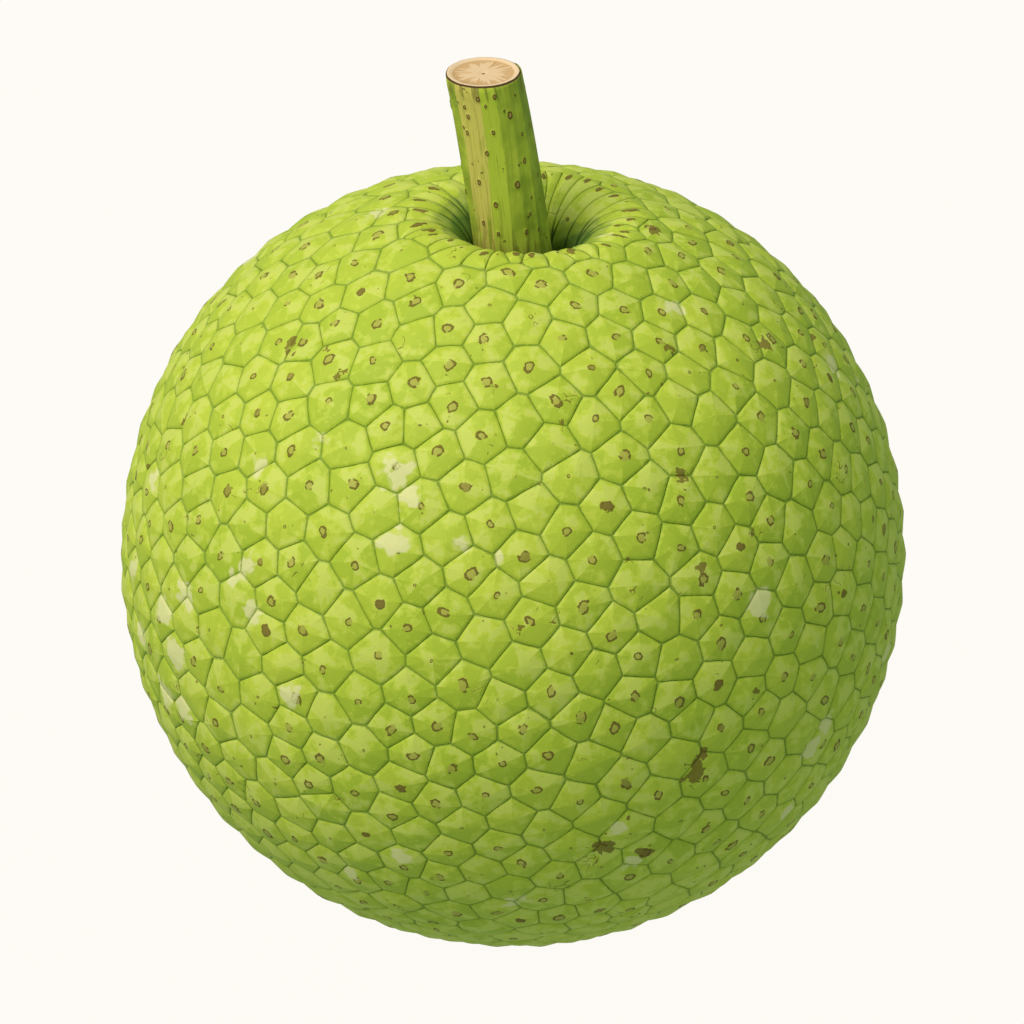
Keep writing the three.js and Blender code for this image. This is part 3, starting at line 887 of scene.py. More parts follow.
@dataclass(frozen=True)
class Scars:
    """Scars of the scales: where each lies, how large it is and how it is turned.

    Attributes:
        large: Share of the scales that have a large scar.
        present: Share of the scales that have any scar.
        away: Distance that puts the scar of any other scale out of sight.
        stray: Stretch over which the middles of the scars stray.
        steady: Part of that stretch that the hanging scales lose.
        radii: Radii of the smallest and the largest of the large scars.
        small_radius: Radius of the small scars.
        swing: Angle that the scars of the hanging scales turn either way.
        slimness: Length over width of the roundest and the slimmest scar.
        hanging_slimness: What the hanging scales add to that, as a share.
        hanging_gain: What they add to the share that has a large scar, and any scar.
    """

    large: float = 0.66
    present: float = 0.84
    away: float = 60.0
    stray: float = 1.5
    steady: float = 0.7
    radii: tuple[float, float] = (0.68, 1.22)
    small_radius: float = 0.30
    swing: float = 0.3
    slimness: tuple[float, float] = (1.0, 1.5)
    hanging_slimness: float = 0.8
    hanging_gain: float = 0.1

    def lay(
        self, local: np.ndarray, owner: np.ndarray, rolls: np.ndarray, hanging: np.ndarray
    ) -> np.ndarray:
        """Map of the scars, where the edge of each scar lies at 1 from the origin.

        Args:
            local: Places in the plane of each scale, from its tip.
            owner: Scale of each place.
            rolls: For each scale, two draws for the middle of its scar, and one each for its
                kind, radius, turn and slimness.
            hanging: How far each scale is one of those that hang over the rim, from 0 to 1.

        Returns:
            Place of each on the map.
        """
        centre = (rolls[:, :2] - 0.5) * self.stray * (1 - self.steady * hanging)[:, None]
        kind = rolls[:, 2] - self.hanging_gain * hanging
        kind[-1] = 1.0  # the floor of the hollow has no scar
        radius = np.where(kind < self.large, blend(*self.radii, rolls[:, 3]), self.small_radius)
        away = np.where(kind > self.present, self.away, 0.0)
        swing = blend(-self.swing, self.swing, rolls[:, 4])
        turn = blend(rolls[:, 4] * math.pi, swing, hanging)
        slim = blend(*self.slimness, rolls[:, 5]) * (1 + self.hanging_slimness * hanging)
        cosine, sine, slim = np.cos(turn)[owner], np.sin(turn)[owner], slim[owner] ** 0.5
        x, y = ((local - centre[owner]) / radius[owner][:, None]).T
        across, up = x * cosine + y * sine, y * cosine - x * sine
        return np.stack([across * slim + away[owner], up / slim], axis=1)


@dataclass
class Skin:
    """Fruit: its net of scales, wrapped over the profile and dressed.

    Attributes:
        wander: How far a tip strays from the spiral, as a share of the scale's width.
        tip_height_spread: How far the heights of the tips spread, as a share.
        spiral_end: Arc length past the crest where the spiral ends.
        rim_tip: Arc length past the crest where the tips of the rim's scales lie.
        rim_stray: How far they stray along the profile.
        rim_wander: How far they stray round the rim, as a share of their spacing.
        cuts: Rows of points between a tip and its groove.
        rows: Where the rows lie between tip and groove.
        rise: Height of each row, as a share of the tip's height over the groove.
        rounding: How far each row draws in at the corners of a scale.
        edge_waver: How far the grooves waver on the layout sphere.
        waver_scale: Waves of that over the radius of the sphere.
        waver_seed: Seed of the waver, which would change with the clock without one.
        lump_scale: Lumps of the skin over the radius of the sphere.
        lump_height: Height of the lumps on the facets.
        groove_spread: How far the lumps change the depth of the grooves, as a share.
        hanging_tone: Tone of the scales that hang over the rim.
        lit_side: Direction in which the wall of the hollow lies in the light.
        lit_depth: How much further down the light reaches there.
        shade_lift: How far the shade rises over the crest elsewhere.
        shade_reach: Arc lengths past that line between which the shade deepens.
    """

    axis: StalkAxis
    profile: Profile = field(default_factory=Profile)
    wander: float = 0.3
    tip_height: float = 0.42
    tip_height_spread: float = 0.25
    groove_depth: float = 0.48
    spiral_seed: int = 7
    spiral_end: float = -3.0
    rim_scales: int = 35
    rim_tip: float = 1.0
    rim_stray: float = 1.3
    rim_wander: float = 0.42
    cuts: int = 4
    longest_edge: float = 2.6
    rows: tuple[float, ...] = (0.0, 0.22, 0.53, 0.82, 0.96, 1.0)
    rise: tuple[float, ...] = (1.0, 0.89, 0.67, 0.45, 0.30, 0.0)
    rounding: tuple[float, ...] = (0.0, 0.0, 0.015, 0.035, 0.045, 0.0)
    edge_waver: float = 0.0019
    waver_scale: float = 26.0
    waver_seed: int = 7
    lump_scale: float = 34.0
    lump_height: float = 0.08
    groove_spread: float = 0.25
    hanging_tone: float = 0.98
    lit_side: tuple[float, float] = (0.5, 0.866)
    lit_depth: float = 8.0
    shade_lift: float = 2.3
    shade_reach: tuple[float, float] = (1.0, 17.0)
    scars: Scars = Scars()
    finish: SkinFinish = SkinFinish()

    def toward(self, distance: float, longitude: float) -> tuple[float, float, float]:
        """Direction on the layout sphere for a place on the skin.

        Args:
            distance: Arc length from the lowest point.
            longitude: Angle round the axis.

        Returns:
            The direction.
        """
        polar = float(np.interp(distance, self.table[0], self.table[2]))
        across = math.sin(polar)
        return across * math.cos(longitude), across * math.sin(longitude), -math.cos(polar)

    def polar(self, directions: np.ndarray) -> np.ndarray:
        """Angles of directions on the layout sphere from its lowest point."""
        return np.arctan2(np.hypot(*directions[:, :2].T), -directions[:, 2])

    def distance(self, directions: np.ndarray) -> np.ndarray:
        """Arc lengths along the profile for directions on the layout sphere."""
        return np.interp(self.polar(directions), self.table[2], self.table[0])

    def lay_tips(self) -> tuple[np.ndarray, np.ndarray]:
        """Lay the tips of the scales.

        The body has a golden-angle spiral of scales. A ring of long ones hangs over the rim
        of the hollow, and a last one lies on its floor.

        Returns:
            Directions of the tips on the layout sphere, and their heights.
        """
        distance, count, _ = self.table
        draw = random_source(self.spiral_seed)

        def stray() -> float:
            """Next draw, from -1 to 1."""
            return draw() * 2 - 1

        golden = math.pi * (3 - math.sqrt(5))
        directions, heights = [], []
        last = float(np.interp(self.profile.crest + self.spiral_end, distance, count))
        for index in range(int(last)):
            even = float(np.interp(index + 0.5, count, distance))
            width = float(self.profile.scale_width(even))
            r = float(self.profile.at(even)[0])
            along = stray() * self.wander * width * float(self.profile.scale_stretch(even))
            around = stray() * self.wander * width / max(r, width)
            heights.append(self.tip_height * (1 + stray() * self.tip_height_spread))
            directions.append(self.toward(abs(even + along), index * golden + around))
        for index in range(self.rim_scales):
            along = stray() * self.rim_stray
            turn = (index + stray() * self.rim_wander) * 2 * math.pi / self.rim_scales
            directions.append(self.toward(self.profile.crest + self.rim_tip + along, turn))
            heights.append(self.tip_height)
        return np.array([*directions, (0.0, 0.0, 1.0)]), np.array([*heights, 0.0])

    def even_tips(self, tips: np.ndarray) -> np.ndarray:
        """Move each tip of the spiral to the middle of the corners around it.

        Args:
            tips: Directions of all tips.

        Returns:
            The directions, with those of the spiral moved.
        """
        bm = self.hull(tips)
        middles = np.zeros_like(tips)
        for face in bm.faces:
            corner = self.corner_over(*(vert.co for vert in face.verts))
            for vert in face.verts:
                middles[vert.index] += corner
        bm.free()
        spiral = len(tips) - self.rim_scales - 1
        return np.concatenate([unit(middles[:spiral]), tips[spiral:]])

    @staticmethod
    def hull(tips: np.ndarray) -> bmesh.types.BMesh:
        """Hull of the tips, which has a point for each and a triangle for each corner.

        Args:
            tips: Directions of the tips.

        Returns:
            Mesh of the hull, with the point layer "rho" and the face layer "fan" at 0.
        """
        bm = bmesh.new()
        bm.verts.layers.float.new("rho")
        bm.faces.layers.int.new("fan")
        for direction in tips:
            bm.verts.new(direction)
        bmesh.ops.convex_hull(bm, input=bm.verts[:])
        bm.verts.index_update()
        return bm

    @staticmethod
    def corner_over(a: Vector, b: Vector, c: Vector) -> Vector:
        """Point of the unit sphere that lies equally far from three others."""
        corner = (b - a).cross(c - a).normalized()
        return corner if corner.dot(a) > 0 else -corner

    def net(self) -> bmesh.types.BMesh:
        """Net of fans on the layout sphere: each scale is a fan of facets round its tip.

        Returns:
            Mesh with a point layer "rho", 0 at a tip and 1 in a groove, and a face layer
            "fan" with the number of the facet that each face belongs to.
        """
        bm = self.hull(self.tips)
        rho, fan = bm.verts.layers.float["rho"], bm.faces.layers.int["fan"]
        tips = set(bm.verts)
        seams = bm.edges[:]
        bmesh.ops.poke(bm, faces=bm.faces[:])
        bmesh.ops.dissolve_edges(bm, edges=seams)
        for face in bm.faces[:]:
            bmesh.utils.face_split(face, *(vert for vert in face.verts if vert not in tips))
        for vert in bm.verts:
            if vert in tips:
                continue
            ends = [edge.other_vert(vert) for edge in vert.link_edges]
            vert.co = self.corner_over(*(end.co for end in ends if end in tips))
            vert[rho] = 1.0
        owners, ends = [], []
        for number, face in enumerate(bm.faces):
            face[fan] = number
            owners.append(next(vert.index for vert in face.verts if vert in tips))
            ends.append([tuple(vert.co) for vert in face.verts if vert not in tips])
        self.owners = np.array(owners)
        self.ends = np.array(ends)
        bmesh.ops.subdivide_edges(bm, edges=bm.edges[:], cuts=self.cuts, use_grid_fill=True)
        for _ in range(2):
            bmesh.ops.subdivide_edges(bm, edges=self.long_edges(bm), cuts=1)
            quads = [face for face in bm.faces if len(face.verts) > 3]
            bmesh.ops.triangulate(bm, faces=quads)
        return bm

    def long_edges(self, bm: bmesh.types.BMesh) -> list[bmesh.types.BMEdge]:
        """Find the edges that come out too long on the skin, as those over the rim do.

        Args:
            bm: Net on the layout sphere.

        Returns:
            The edges.
        """
        ends = unit(np.array([[tuple(vert.co) for vert in edge.verts] for edge in bm.edges]))
        first, second = (self.wrap(ends[:, side], 0.0) for side in (0, 1))
        gaps = np.linalg.norm(first - second, axis=1)
        return [edge for edge, gap in zip(bm.edges, gaps) if gap > self.longest_edge]

    def wrap(self, direction: np.ndarray, height: np.ndarray | float) -> np.ndarray:
        """Points of the skin for directions on the layout sphere.

        Args:
            direction: Unit vectors on the layout sphere.
            height: Height of each above the smooth skin.

        Returns:
            Points, in millimetres, with the flat spot at height 0.
        """
        longitude = np.arctan2(direction[:, 1], direction[:, 0])
        distance = self.distance(direction)
        r, z, nr, nz = self.profile.at(distance)
        raised = height * self.profile.relief_share(distance)
        r, z = r + nr * raised, z + nz * raised
        swell = 1 + self.profile.shoulder_swell * np.sin(2 * np.arctan2(r, z)) ** 2
        swell = np.where(z > 0, swell, 1.0)
        inner = np.where(z > 0, 1 - smooth(r, *self.profile.rim_reach), 0.0)
        x = r * swell * np.cos(longitude)
        y = r * swell * np.sin(longitude)
        z = z * swell - inner * self.profile.rim_tilt * (x + y)
        x = x + inner * self.profile.rim_shift
        points = np.stack([x, y, np.maximum(z + CENTRE_HEIGHT, 0.0)], axis=-1)
        return self.sink_socket(points, distance, longitude)

    def sink_socket(
        self, points: np.ndarray, distance: np.ndarray, longitude: np.ndarray
    ) -> np.ndarray:
        """Draw the middle of the hollow's floor down into the socket of the stalk.

        Args:
            points: Points of the skin.
            distance: Their arc lengths along the profile.
            longitude: Their angles round the axis.

        Returns:
            The points, with those of the socket in place.
        """
        wall_share = 0.6  # of the floor's middle, which turns into the wall of the socket
        brink = self.profile.end - self.profile.socket_radius
        inside = distance > brink
        share = (distance[inside] - brink) / self.profile.socket_radius
        floor_z = self.profile.wall_foot - self.profile.floor_fillet
        z = blend(floor_z, self.profile.socket_foot, np.clip(share / wall_share, 0, 1))
        r = self.profile.socket_radius * np.clip((1 - share) / (1 - wall_share), 0, 1)
        points[inside, 0] = r * np.cos(longitude[inside]) + self.axis.across(z)
        points[inside, 1] = r * np.sin(longitude[inside])
        points[inside, 2] = z + CENTRE_HEIGHT
        return points

    def shape(self, bm: bmesh.types.BMesh) -> None:
        """Move the points of the net onto the skin, with the relief of the scales.

        Args:
            bm: Net made by the method net.
        """
        rho_layer = bm.verts.layers.float["rho"]
        fan_layer = bm.faces.layers.int["fan"]
        place = np.array([vert.co for vert in bm.verts])
        rho = np.array([vert[rho_layer] for vert in bm.verts])
        fan = np.array([vert.link_faces[0][fan_layer] for vert in bm.verts])
        owner = self.owners[fan]
        tips = self.tips[owner]
        outer = tips + (place - tips) / np.maximum(rho, TINY)[:, None]
        outer = np.where(rho[:, None] > 1e-4, outer, tips)
        reach = np.maximum(np.linalg.norm(outer - tips, axis=1), TINY)
        gaps = np.linalg.norm(self.ends[fan] - outer[:, None, :], axis=2).min(axis=1)
        near_corner = 1 - smooth(gaps / reach, 0.0, 0.5)
        noise.seed_set(self.waver_seed)
        waver = [noise.noise_vector(Vector(point) * self.waver_scale) for point in outer]
        outer = outer + np.array(waver) * self.edge_waver
        levels = np.linspace(0, 1, self.cuts + 2)
        self.row = np.interp(rho, levels, self.rows)
        moved = self.row * (1 - np.interp(rho, levels, self.rounding) * near_corner)
        direction = unit(tips + (outer - tips) * moved[:, None])
        share = np.interp(rho, levels, self.rise)
        shift = Vector((5, 0, 0))
        lumps = [noise.noise(Vector(point) * self.lump_scale + shift) for point in direction]
        lumps = np.array(lumps)
        grooves = -self.groove_depth * (1 + self.groove_spread * lumps)
        height = grooves + (self.heights[owner] - grooves) * share
        height = height + self.lump_height * lumps * (1 - np.abs(2 * share - 1))
        for vert, point in zip(bm.verts, self.wrap(direction, height)):
            vert.co = point
        self.directions = direction
        self.vert_fan = fan

    def crease(self, bm: bmesh.types.BMesh) -> None:
        """Sharpen the grooves, and the ridges where two facets of a scale meet.

        Args:
            bm: Net with its points on the skin.
        """
        rho, fan = bm.verts.layers.float["rho"], bm.faces.layers.int["fan"]
        for edge in bm.edges:
            first, second = (face[fan] for face in edge.link_faces)
            apart = self.owners[first] != self.owners[second]
            clear = min(vert[rho] for vert in edge.verts) > 0.1
            edge.smooth = not (first != second and (apart or clear))

    def in_plane(self, points: np.ndarray, owner: np.ndarray) -> np.ndarray:
        """Places of points in the plane of their scale, from its tip.

        Args:
            points: Points of the skin, in millimetres.
            owner: Scale of each point.

        Returns:
            Distance east and north of the tip, in millimetres.
        """
        east = unit(np.stack([-self.tips[:, 1], self.tips[:, 0], np.zeros(len(self.tips))], axis=1))
        north = np.cross(self.tips, east)
        spots = self.wrap(self.tips, self.heights)
        places = []
        for side in (east, north):
            beside = self.wrap(unit(self.tips + side * 0.01), self.heights)
            along = unit(beside - spots)
            places.append(np.sum((points - spots[owner]) * along[owner], axis=1))
        return np.stack(places, axis=1)

    def reach(self, hanging: np.ndarray) -> np.ndarray:
        """Distance from tip to groove, which is the same all round a scale of the body.

        Args:
            hanging: How far each scale is one of those that hang over the rim, from 0 to 1.

        Returns:
            Distance across each facet, in millimetres.
        """
        r = self.profile.at(self.distance(self.tips))[0]
        magnified = r / np.maximum(np.sin(self.polar(self.tips)), TINY)
        border = unit(np.cross(self.ends[:, 0], self.ends[:, 1]))
        reach = np.abs(np.sum(border * self.tips[self.owners], axis=1)) * magnified[self.owners]
        count = np.bincount(self.owners, minlength=len(self.tips))
        mean = np.bincount(self.owners, reach, minlength=len(self.tips)) / np.maximum(count, 1)
        return np.where(hanging[self.owners] > 0.5, reach, mean[self.owners])

    def upturn(self) -> np.ndarray:
        """Find how far each facet faces up from the tip of its scale.

        Returns:
            Share for each facet, from -1 to 1.
        """
        run = self.ends.mean(axis=1) - self.tips[self.owners]
        span = np.linalg.norm(run, axis=1) * np.sin(self.polar(self.tips))[self.owners]
        return np.clip(run[:, 2] / np.maximum(span, TINY), -1, 1)

    def shade(self) -> np.ndarray:
        """Shade of the hollow, which lets the light reach further down its lit side.

        Returns:
            Depth of the shade at each point, from 0 to 1.
        """
        past = self.profile.past_crest(self.distance(self.directions))
        facing = np.maximum(unit(self.directions[:, :2]) @ np.array(self.lit_side), 0)
        lit = self.lit_depth * facing**3 - self.shade_lift
        return smooth(past - lit, *self.shade_reach)

    def dress(self, mesh: bpy.types.Mesh, fan: np.ndarray) -> None:
        """Store what the skin's material reads.

        Args:
            mesh: Finished mesh, still in millimetres.
            fan: Facet number of each face.
        """
        points = np.zeros(len(mesh.vertices) * 3)
        mesh.vertices.foreach_get("co", points)
        points = points.reshape(-1, 3)
        corner = np.zeros(len(mesh.loops), int)
        mesh.loops.foreach_get("vertex_index", corner)
        hanging = smooth(self.profile.past_crest(self.distance(self.tips)), -2, -1)
        draw = random_source(self.spiral_seed + 1)
        rolls = np.array([[draw() for _ in range(7)] for _ in range(len(self.tips))])
        facet_rolls = np.array([draw() for _ in range(len(self.owners))])
        tone = blend(rolls[:, 0], self.hanging_tone, hanging)
        # half a random draw, half painted light and shade: facets that face up are lighter, those
        # that face down darker
        facet_tone_and_light = 0.5 * facet_rolls + 0.25 * (1 + self.upturn())
        border = (1 - self.row) * self.reach(hanging)[self.vert_fan]
        store(mesh, "border_mm", "POINT", border)
        store(mesh, "scale_tone", "FACE", tone[self.owners[fan]])
        store(mesh, "facet_tone_and_light", "FACE", facet_tone_and_light[fan])
        # painted shade of the hollow, deeper past the crest and shallower on its lit side
        store(mesh, "hollow", "POINT", self.shade())
        owner = self.owners[np.repeat(fan, 3)]
        local = self.in_plane(points[corner], owner)
        scars = self.scars.lay(local, owner, rolls[:, 1:], hanging)
        layer = mesh.uv_layers.new(name="scar_map")
        layer.data.foreach_set("uv", np.ascontiguousarray(scars, np.float32).ravel())
        for mark, blemishes in BLEMISHES.items():
            store(mesh, mark.value, "POINT", self.strength(points, blemishes))

    def strength(self, points: np.ndarray, blemishes: Blemishes) -> np.ndarray:
        """Strength of one kind of blemish over the skin.

        Args:
            points: Points of the skin, in millimetres.
            blemishes: Blemishes of that kind.

        Returns:
            1 in the middle of a blemish, 0.5 at its edge, and down to 0 away from it.
        """
        strength = np.zeros(len(points))
        for *direction, size in blemishes.spots():
            spot = unit(np.array(direction)) * self.profile.body_radius
            gap = np.linalg.norm(points - spot - (0.0, 0.0, CENTRE_HEIGHT), axis=1)
            strength = np.maximum(strength, 1 - smooth(gap, 0.0, 2.0 * size))
        return strength

    def build(self) -> bpy.types.Object:
        """Make the fruit and let it stand for the CAD node.

        Returns:
            The linked fruit.
        """
        self.table = self.profile.walk()
        tips, self.heights = self.lay_tips()
        self.tips = self.even_tips(tips)
        bm = self.net()
        self.shape(bm)
        self.crease(bm)
        bmesh.ops.recalc_face_normals(bm, faces=bm.faces[:])
        layer = bm.faces.layers.int["fan"]
        fan = np.array([face[layer] for face in bm.faces])
        for face in bm.faces:
            face.smooth = True
        mesh = bpy.data.meshes.new("fruit_skin")
        bm.to_mesh(mesh)
        bm.free()
        self.dress(mesh, fan)
        mesh.transform(Matrix.Scale(MM, 4))
        piece = piece_from("fruit_skin", mesh, [self.finish.material()], Slot.SKIN)
        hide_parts("fruit")
        LOG.info("fruit_skin: %d scales, %d faces", len(self.tips), len(mesh.polygons))
        return piece


@dataclass
class Stalk:
    """Cut stalk with its flats, its pores and its cut face.

    Angles are in degrees round from the front, towards +X.

    Attributes:
        tones: Brightness of each flat, in the order of the ridges before them; partly painted light
            and shade, with the front flat lightest and the flats to the right, away from the key
            light, darkest.
        ridge_sharpness: Sharpness of the ridges below the cut, where 1 is a flat-sided tube,
            and at the cut.
        brink: Height that the hollow hides the stalk up to.
        ripple: Height of the ripples of the bark.
        cut_draw: Distance that the edge of the cut face draws in.
        cut_rings: For each ring of the cut face, its distance in from the side and down.
        pore_bed: How far the middle of a pore sinks, as a share of its height.
        pore_horizon: Distance that no point is counted further from a pore than.
        pore_ranges: Start and span of the back pores' depth below the cut, angle and size.
        weathered: Angles where the weathered band begins, is full, and ends again.
    """

    axis: StalkAxis
    ridges: tuple[int, ...] = (-210, -177, -146, -112, -78, -44, -13, 12, 33, 56, 88, 118)
    # brightness of the flats, partly painted light and shade, darker on the flats that face away
    # from the key light
    tones: tuple[float, ...] = (0.3, 0.6, 0.2, 0.5, 0.35, 0.5, 1.0, 0.5, 0.42, 0.12, 0.2, 0.4)
    ridge_sharpness: tuple[float, float] = (0.8, 0.24)
    twist: float = 0.45
    twist_height: float = 93.0
    strips: int = 20
    hidden_rings: int = 14
    rings: int = 150
    brink: float = 58.0
    ripple: float = 0.06
    cut_lean: float = math.radians(1.5)
    cut_bevel: float = 0.35
    cut_draw: float = 0.17
    cut_rings: tuple[tuple[float, float], ...] = (
        (0.0, 0.35), (0.1575, 0.063), (0.35, 0.0), (0.9, 0.0), (1.15, 0.25), (2.6, 0.27),
        (4.4, 0.24), (6.2, 0.26), (6.75, 0.28), (7.2, 0.50), (7.55, 0.52),
    )
    pore_half_width: float = 0.37
    pore_half_length: float = 0.57
    pore_height: float = 0.16
    pore_bed: float = 0.7
    pore_horizon: float = 3.0
    pore_seed: int = 23
    back_pores: int = 34
    pore_ranges: tuple[tuple[float, float], ...] = ((2, 33), (86, 200), (0.6, 0.8))
    front_pores: tuple[tuple[float, float, float], ...] = (
        (2.4, -11, 1.1), (2.5, 14, 1.1), (4.2, -2, 0.8), (6.3, -33, 1.1), (4.2, -36, 0.9),
        (3.4, -48, 0.7), (7.3, 32, 1.5), (8.8, -46, 0.9), (9.9, -40, 1.0), (10.0, 2, 1.0),
        (12.3, 48, 0.8), (12.1, 74, 0.8), (14.2, -13, 1.1), (17.8, 43, 1.2), (20.7, -35, 1.2),
        (22.0, 24, 1.5), (25.5, -13, 1.2), (25.8, 44, 0.7), (29.8, -39, 1.0), (32.4, 26, 1.1),
        (32.9, 48, 0.9), (31.9, -16, 0.9), (28.9, 37, 0.7), (6.1, 24, 0.6), (4.0, 49, 0.6),
    )
    weathered: tuple[float, ...] = (-62, -46, -22, -3)
    weathered_back: tuple[float, float] = (130, 170)
    bark: BarkFinish = BarkFinish()
    cut: CutFinish = CutFinish()

    def pores(self) -> list[tuple[float, ...]]:
        """Join the pores of the front and the strewn ones of the back.

        Returns:
            Depth of each below the cut, its angle and its size.
        """
        draw = random_source(self.pore_seed)
        back = [
            tuple(start + draw() * span for start, span in self.pore_ranges)
            for _ in range(self.back_pores)
        ]
        return [*self.front_pores, *back]

    def columns(self) -> list[float]:
        """Lay the columns of points, the same number to each flat and one on each ridge.

        Returns:
            Angles of the columns.
        """
        ends = [*self.ridges[1:], self.ridges[0] + 360]
        return [
            low + (high - low) * step / self.strips
            for low, high in zip(self.ridges, ends)
            for step in range(self.strips)
        ]

    def flat_share(self, z: float, degrees: float) -> float:
        """Radius as a share of the ridges' radius; the cut end is rounder.

        Args:
            z: Height on the stalk.
            degrees: Angle of the column.

        Returns:
            The share.
        """
        ends = [*self.ridges, self.ridges[0] + 360]
        low = max(ridge for ridge in ends if ridge <= degrees)
        high = min(ridge for ridge in ends if ridge > degrees)
        half = math.radians(high - low) / 2
        flat = math.cos(half) / math.cos(math.radians(degrees - (low + high) / 2))
        near_cut = float(smooth(z, self.axis.top - 6, self.axis.top))
        return 1 + (flat - 1) * blend(*self.ridge_sharpness, near_cut)

    def turned(self, z: float, degrees: float) -> float:
        """Angle that a column has come to at a height, as the flats wind a little."""
        return degrees + self.twist * min(z - self.twist_height, 6.0)

    def pore_reach(self, z: float, degrees: float) -> float:
        """Distance to the nearest pore, where 1 is its rim.

        Args:
            z: Height on the stalk.
            degrees: Angle round from the front.

        Returns:
            Elliptical distance, never above the horizon.
        """
        nearest = self.pore_horizon
        for down, angle, size in self.spots:
            rise = (z - (self.axis.top - down)) / (self.pore_half_length * size)
            if abs(rise) > self.pore_horizon:
                continue
            turn = (degrees - angle + 180) % 360 - 180
            side = math.radians(turn) * self.axis.radius(z) / (self.pore_half_width * size)
            nearest = min(nearest, math.hypot(rise, side))
        return nearest

    def point(self, z: float, degrees: float, inset: float) -> Vector:
        """Point on the side of the stalk.

        Args:
            z: Height on the stalk.
            degrees: Angle of the column.
            inset: Distance in from the surface.

        Returns:
            The point, in millimetres from the middle of the body.
        """
        middle, across, _ = self.axis.frame(z)
        radius = (self.axis.radius(z) - inset) * self.flat_share(z, degrees)
        turn = math.radians(self.turned(z, degrees))
        sideways, back = across * math.sin(turn), Vector((0, 1, 0)) * math.cos(turn)
        return middle + sideways * radius - back * radius

    def slanted(self, degrees: float, inset: float, sink: float) -> Vector:
        """Point of the cut face, which slants across the top of the stalk.

        Args:
            degrees: Angle of the column.
            inset: Distance in from the side.
            sink: Distance below the plane of the cut.

        Returns:
            The point, in millimetres from the middle of the body.
        """
        middle, _, along = self.axis.frame(self.axis.top)
        normal = Vector((-math.sin(self.cut_lean), 0, math.cos(self.cut_lean)))
        place = self.point(self.axis.top, degrees, inset + self.cut_draw)
        rise = (middle - place).dot(normal) - sink
        return place + along * (rise / along.dot(normal))

    def grow(self, ring: Ring) -> Ring:
        """Extrude a ring of points once.

        Args:
            ring: Points in the order of the columns.

        Returns:
            The new ring, in the same order.
        """
        edges = [self.bm.edges.get(pair) for pair in zip(ring, [*ring[1:], ring[0]])]
        made = bmesh.ops.extrude_edge_only(self.bm, edges=edges)["geom"]
        fresh = [item for item in made if isinstance(item, bmesh.types.BMVert)]
        return sorted(fresh, key=lambda vert: vert[self.column])

    def grow_side(self, ring: Ring) -> Ring:
        """Grow the side of the stalk from its foot to just under the cut.

        Args:
            ring: Ring of points round the foot.

        Returns:
            The last ring.
        """
        hidden = np.linspace(self.axis.root + self.cut_bevel, self.brink, self.hidden_rings)
        shown = np.linspace(self.brink, self.axis.top - 1.2, self.rings)
        for z in (float(height) for height in [*hidden, *shown[1:]]):
            ring = self.grow(ring)
            for vert, column in zip(ring, self.angles):
                reach = self.pore_reach(z, self.turned(z, column))
                dome = float(smooth(reach, 1.4, 0.9) - self.pore_bed * smooth(reach, 0.6, 0.3))
                ripple = noise.noise(Vector((column * 0.06, z * 0.05, 0.0)))
                vert.co = self.point(z, column, -self.pore_height * dome - self.ripple * ripple)
                vert[self.pore] = reach
        return ring

    def grow_cut(self, ring: Ring) -> None:
        """Grow the bevel and the cut face, and close it over the pith.

        Args:
            ring: Last ring of the side.
        """
        for inset, sink in self.cut_rings:
            ring = self.grow(ring)
            for vert, column in zip(ring, self.angles):
                vert.co = self.slanted(column, inset, sink)
                vert[self.pore] = self.pore_horizon
                vert[self.inset] = inset
        pith = self.slanted(0, self.axis.top_radius, sink)
        bmesh.ops.pointmerge(self.bm, verts=ring, merge_co=pith)

    def build(self) -> bpy.types.Object:
        """Make the stalk and let it stand for the CAD node.

        Returns:
            The linked stalk.
        """
        self.spots = self.pores()
        self.angles = self.columns()
        self.bm = bmesh.new()
        self.column = self.bm.verts.layers.int.new("column")
        self.pore = self.bm.verts.layers.float.new("pore")
        self.inset = self.bm.verts.layers.float.new("inset")
        made = bmesh.ops.create_circle(self.bm, segments=len(self.angles), radius=1.0)["verts"]
        foot = sorted(made, key=lambda vert: math.atan2(vert.co.x, -vert.co.y))
        for number, (vert, column) in enumerate(zip(foot, self.angles)):
            vert[self.column] = number
            vert[self.inset] = -1.0
            vert.co = self.point(self.axis.root, column, self.cut_bevel)
        self.grow_cut(self.grow_side(foot))
        under = self.grow(foot)
        for vert, column in zip(under, self.angles):
            vert.co = self.point(self.axis.root, column, self.axis.foot_radius - 1.0)
        bmesh.ops.pointmerge(self.bm, verts=under, merge_co=self.axis.frame(self.axis.root)[0])
        bmesh.ops.recalc_face_normals(self.bm, faces=self.bm.faces[:])
        self.bm.verts.index_update()
        for items in (self.bm.edges, self.bm.faces):
            items.sort(key=self.rank)
        flats = self.mark_faces()
        attributes = self.measure()
        lift = Vector((0, 0, CENTRE_HEIGHT))
        bmesh.ops.translate(self.bm, verts=self.bm.verts[:], vec=lift)
        bmesh.ops.scale(self.bm, verts=self.bm.verts[:], vec=Vector((MM, MM, MM)))
        mesh = bpy.data.meshes.new("stalk_wood")
        self.bm.to_mesh(mesh)
        self.bm.free()
        for name, values in attributes.items():
            store(mesh, name, "POINT", np.array(values))
        store(mesh, "flat_tone_and_light", "FACE", np.array(self.tones)[flats])
        materials = [self.bark.material(), self.cut.material()]
        piece = piece_from("stalk_wood", mesh, materials, Slot.BARK)
        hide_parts("stalk")
        LOG.info("stalk_wood: %d pores, %d faces", len(self.spots), len(mesh.polygons))
        return piece

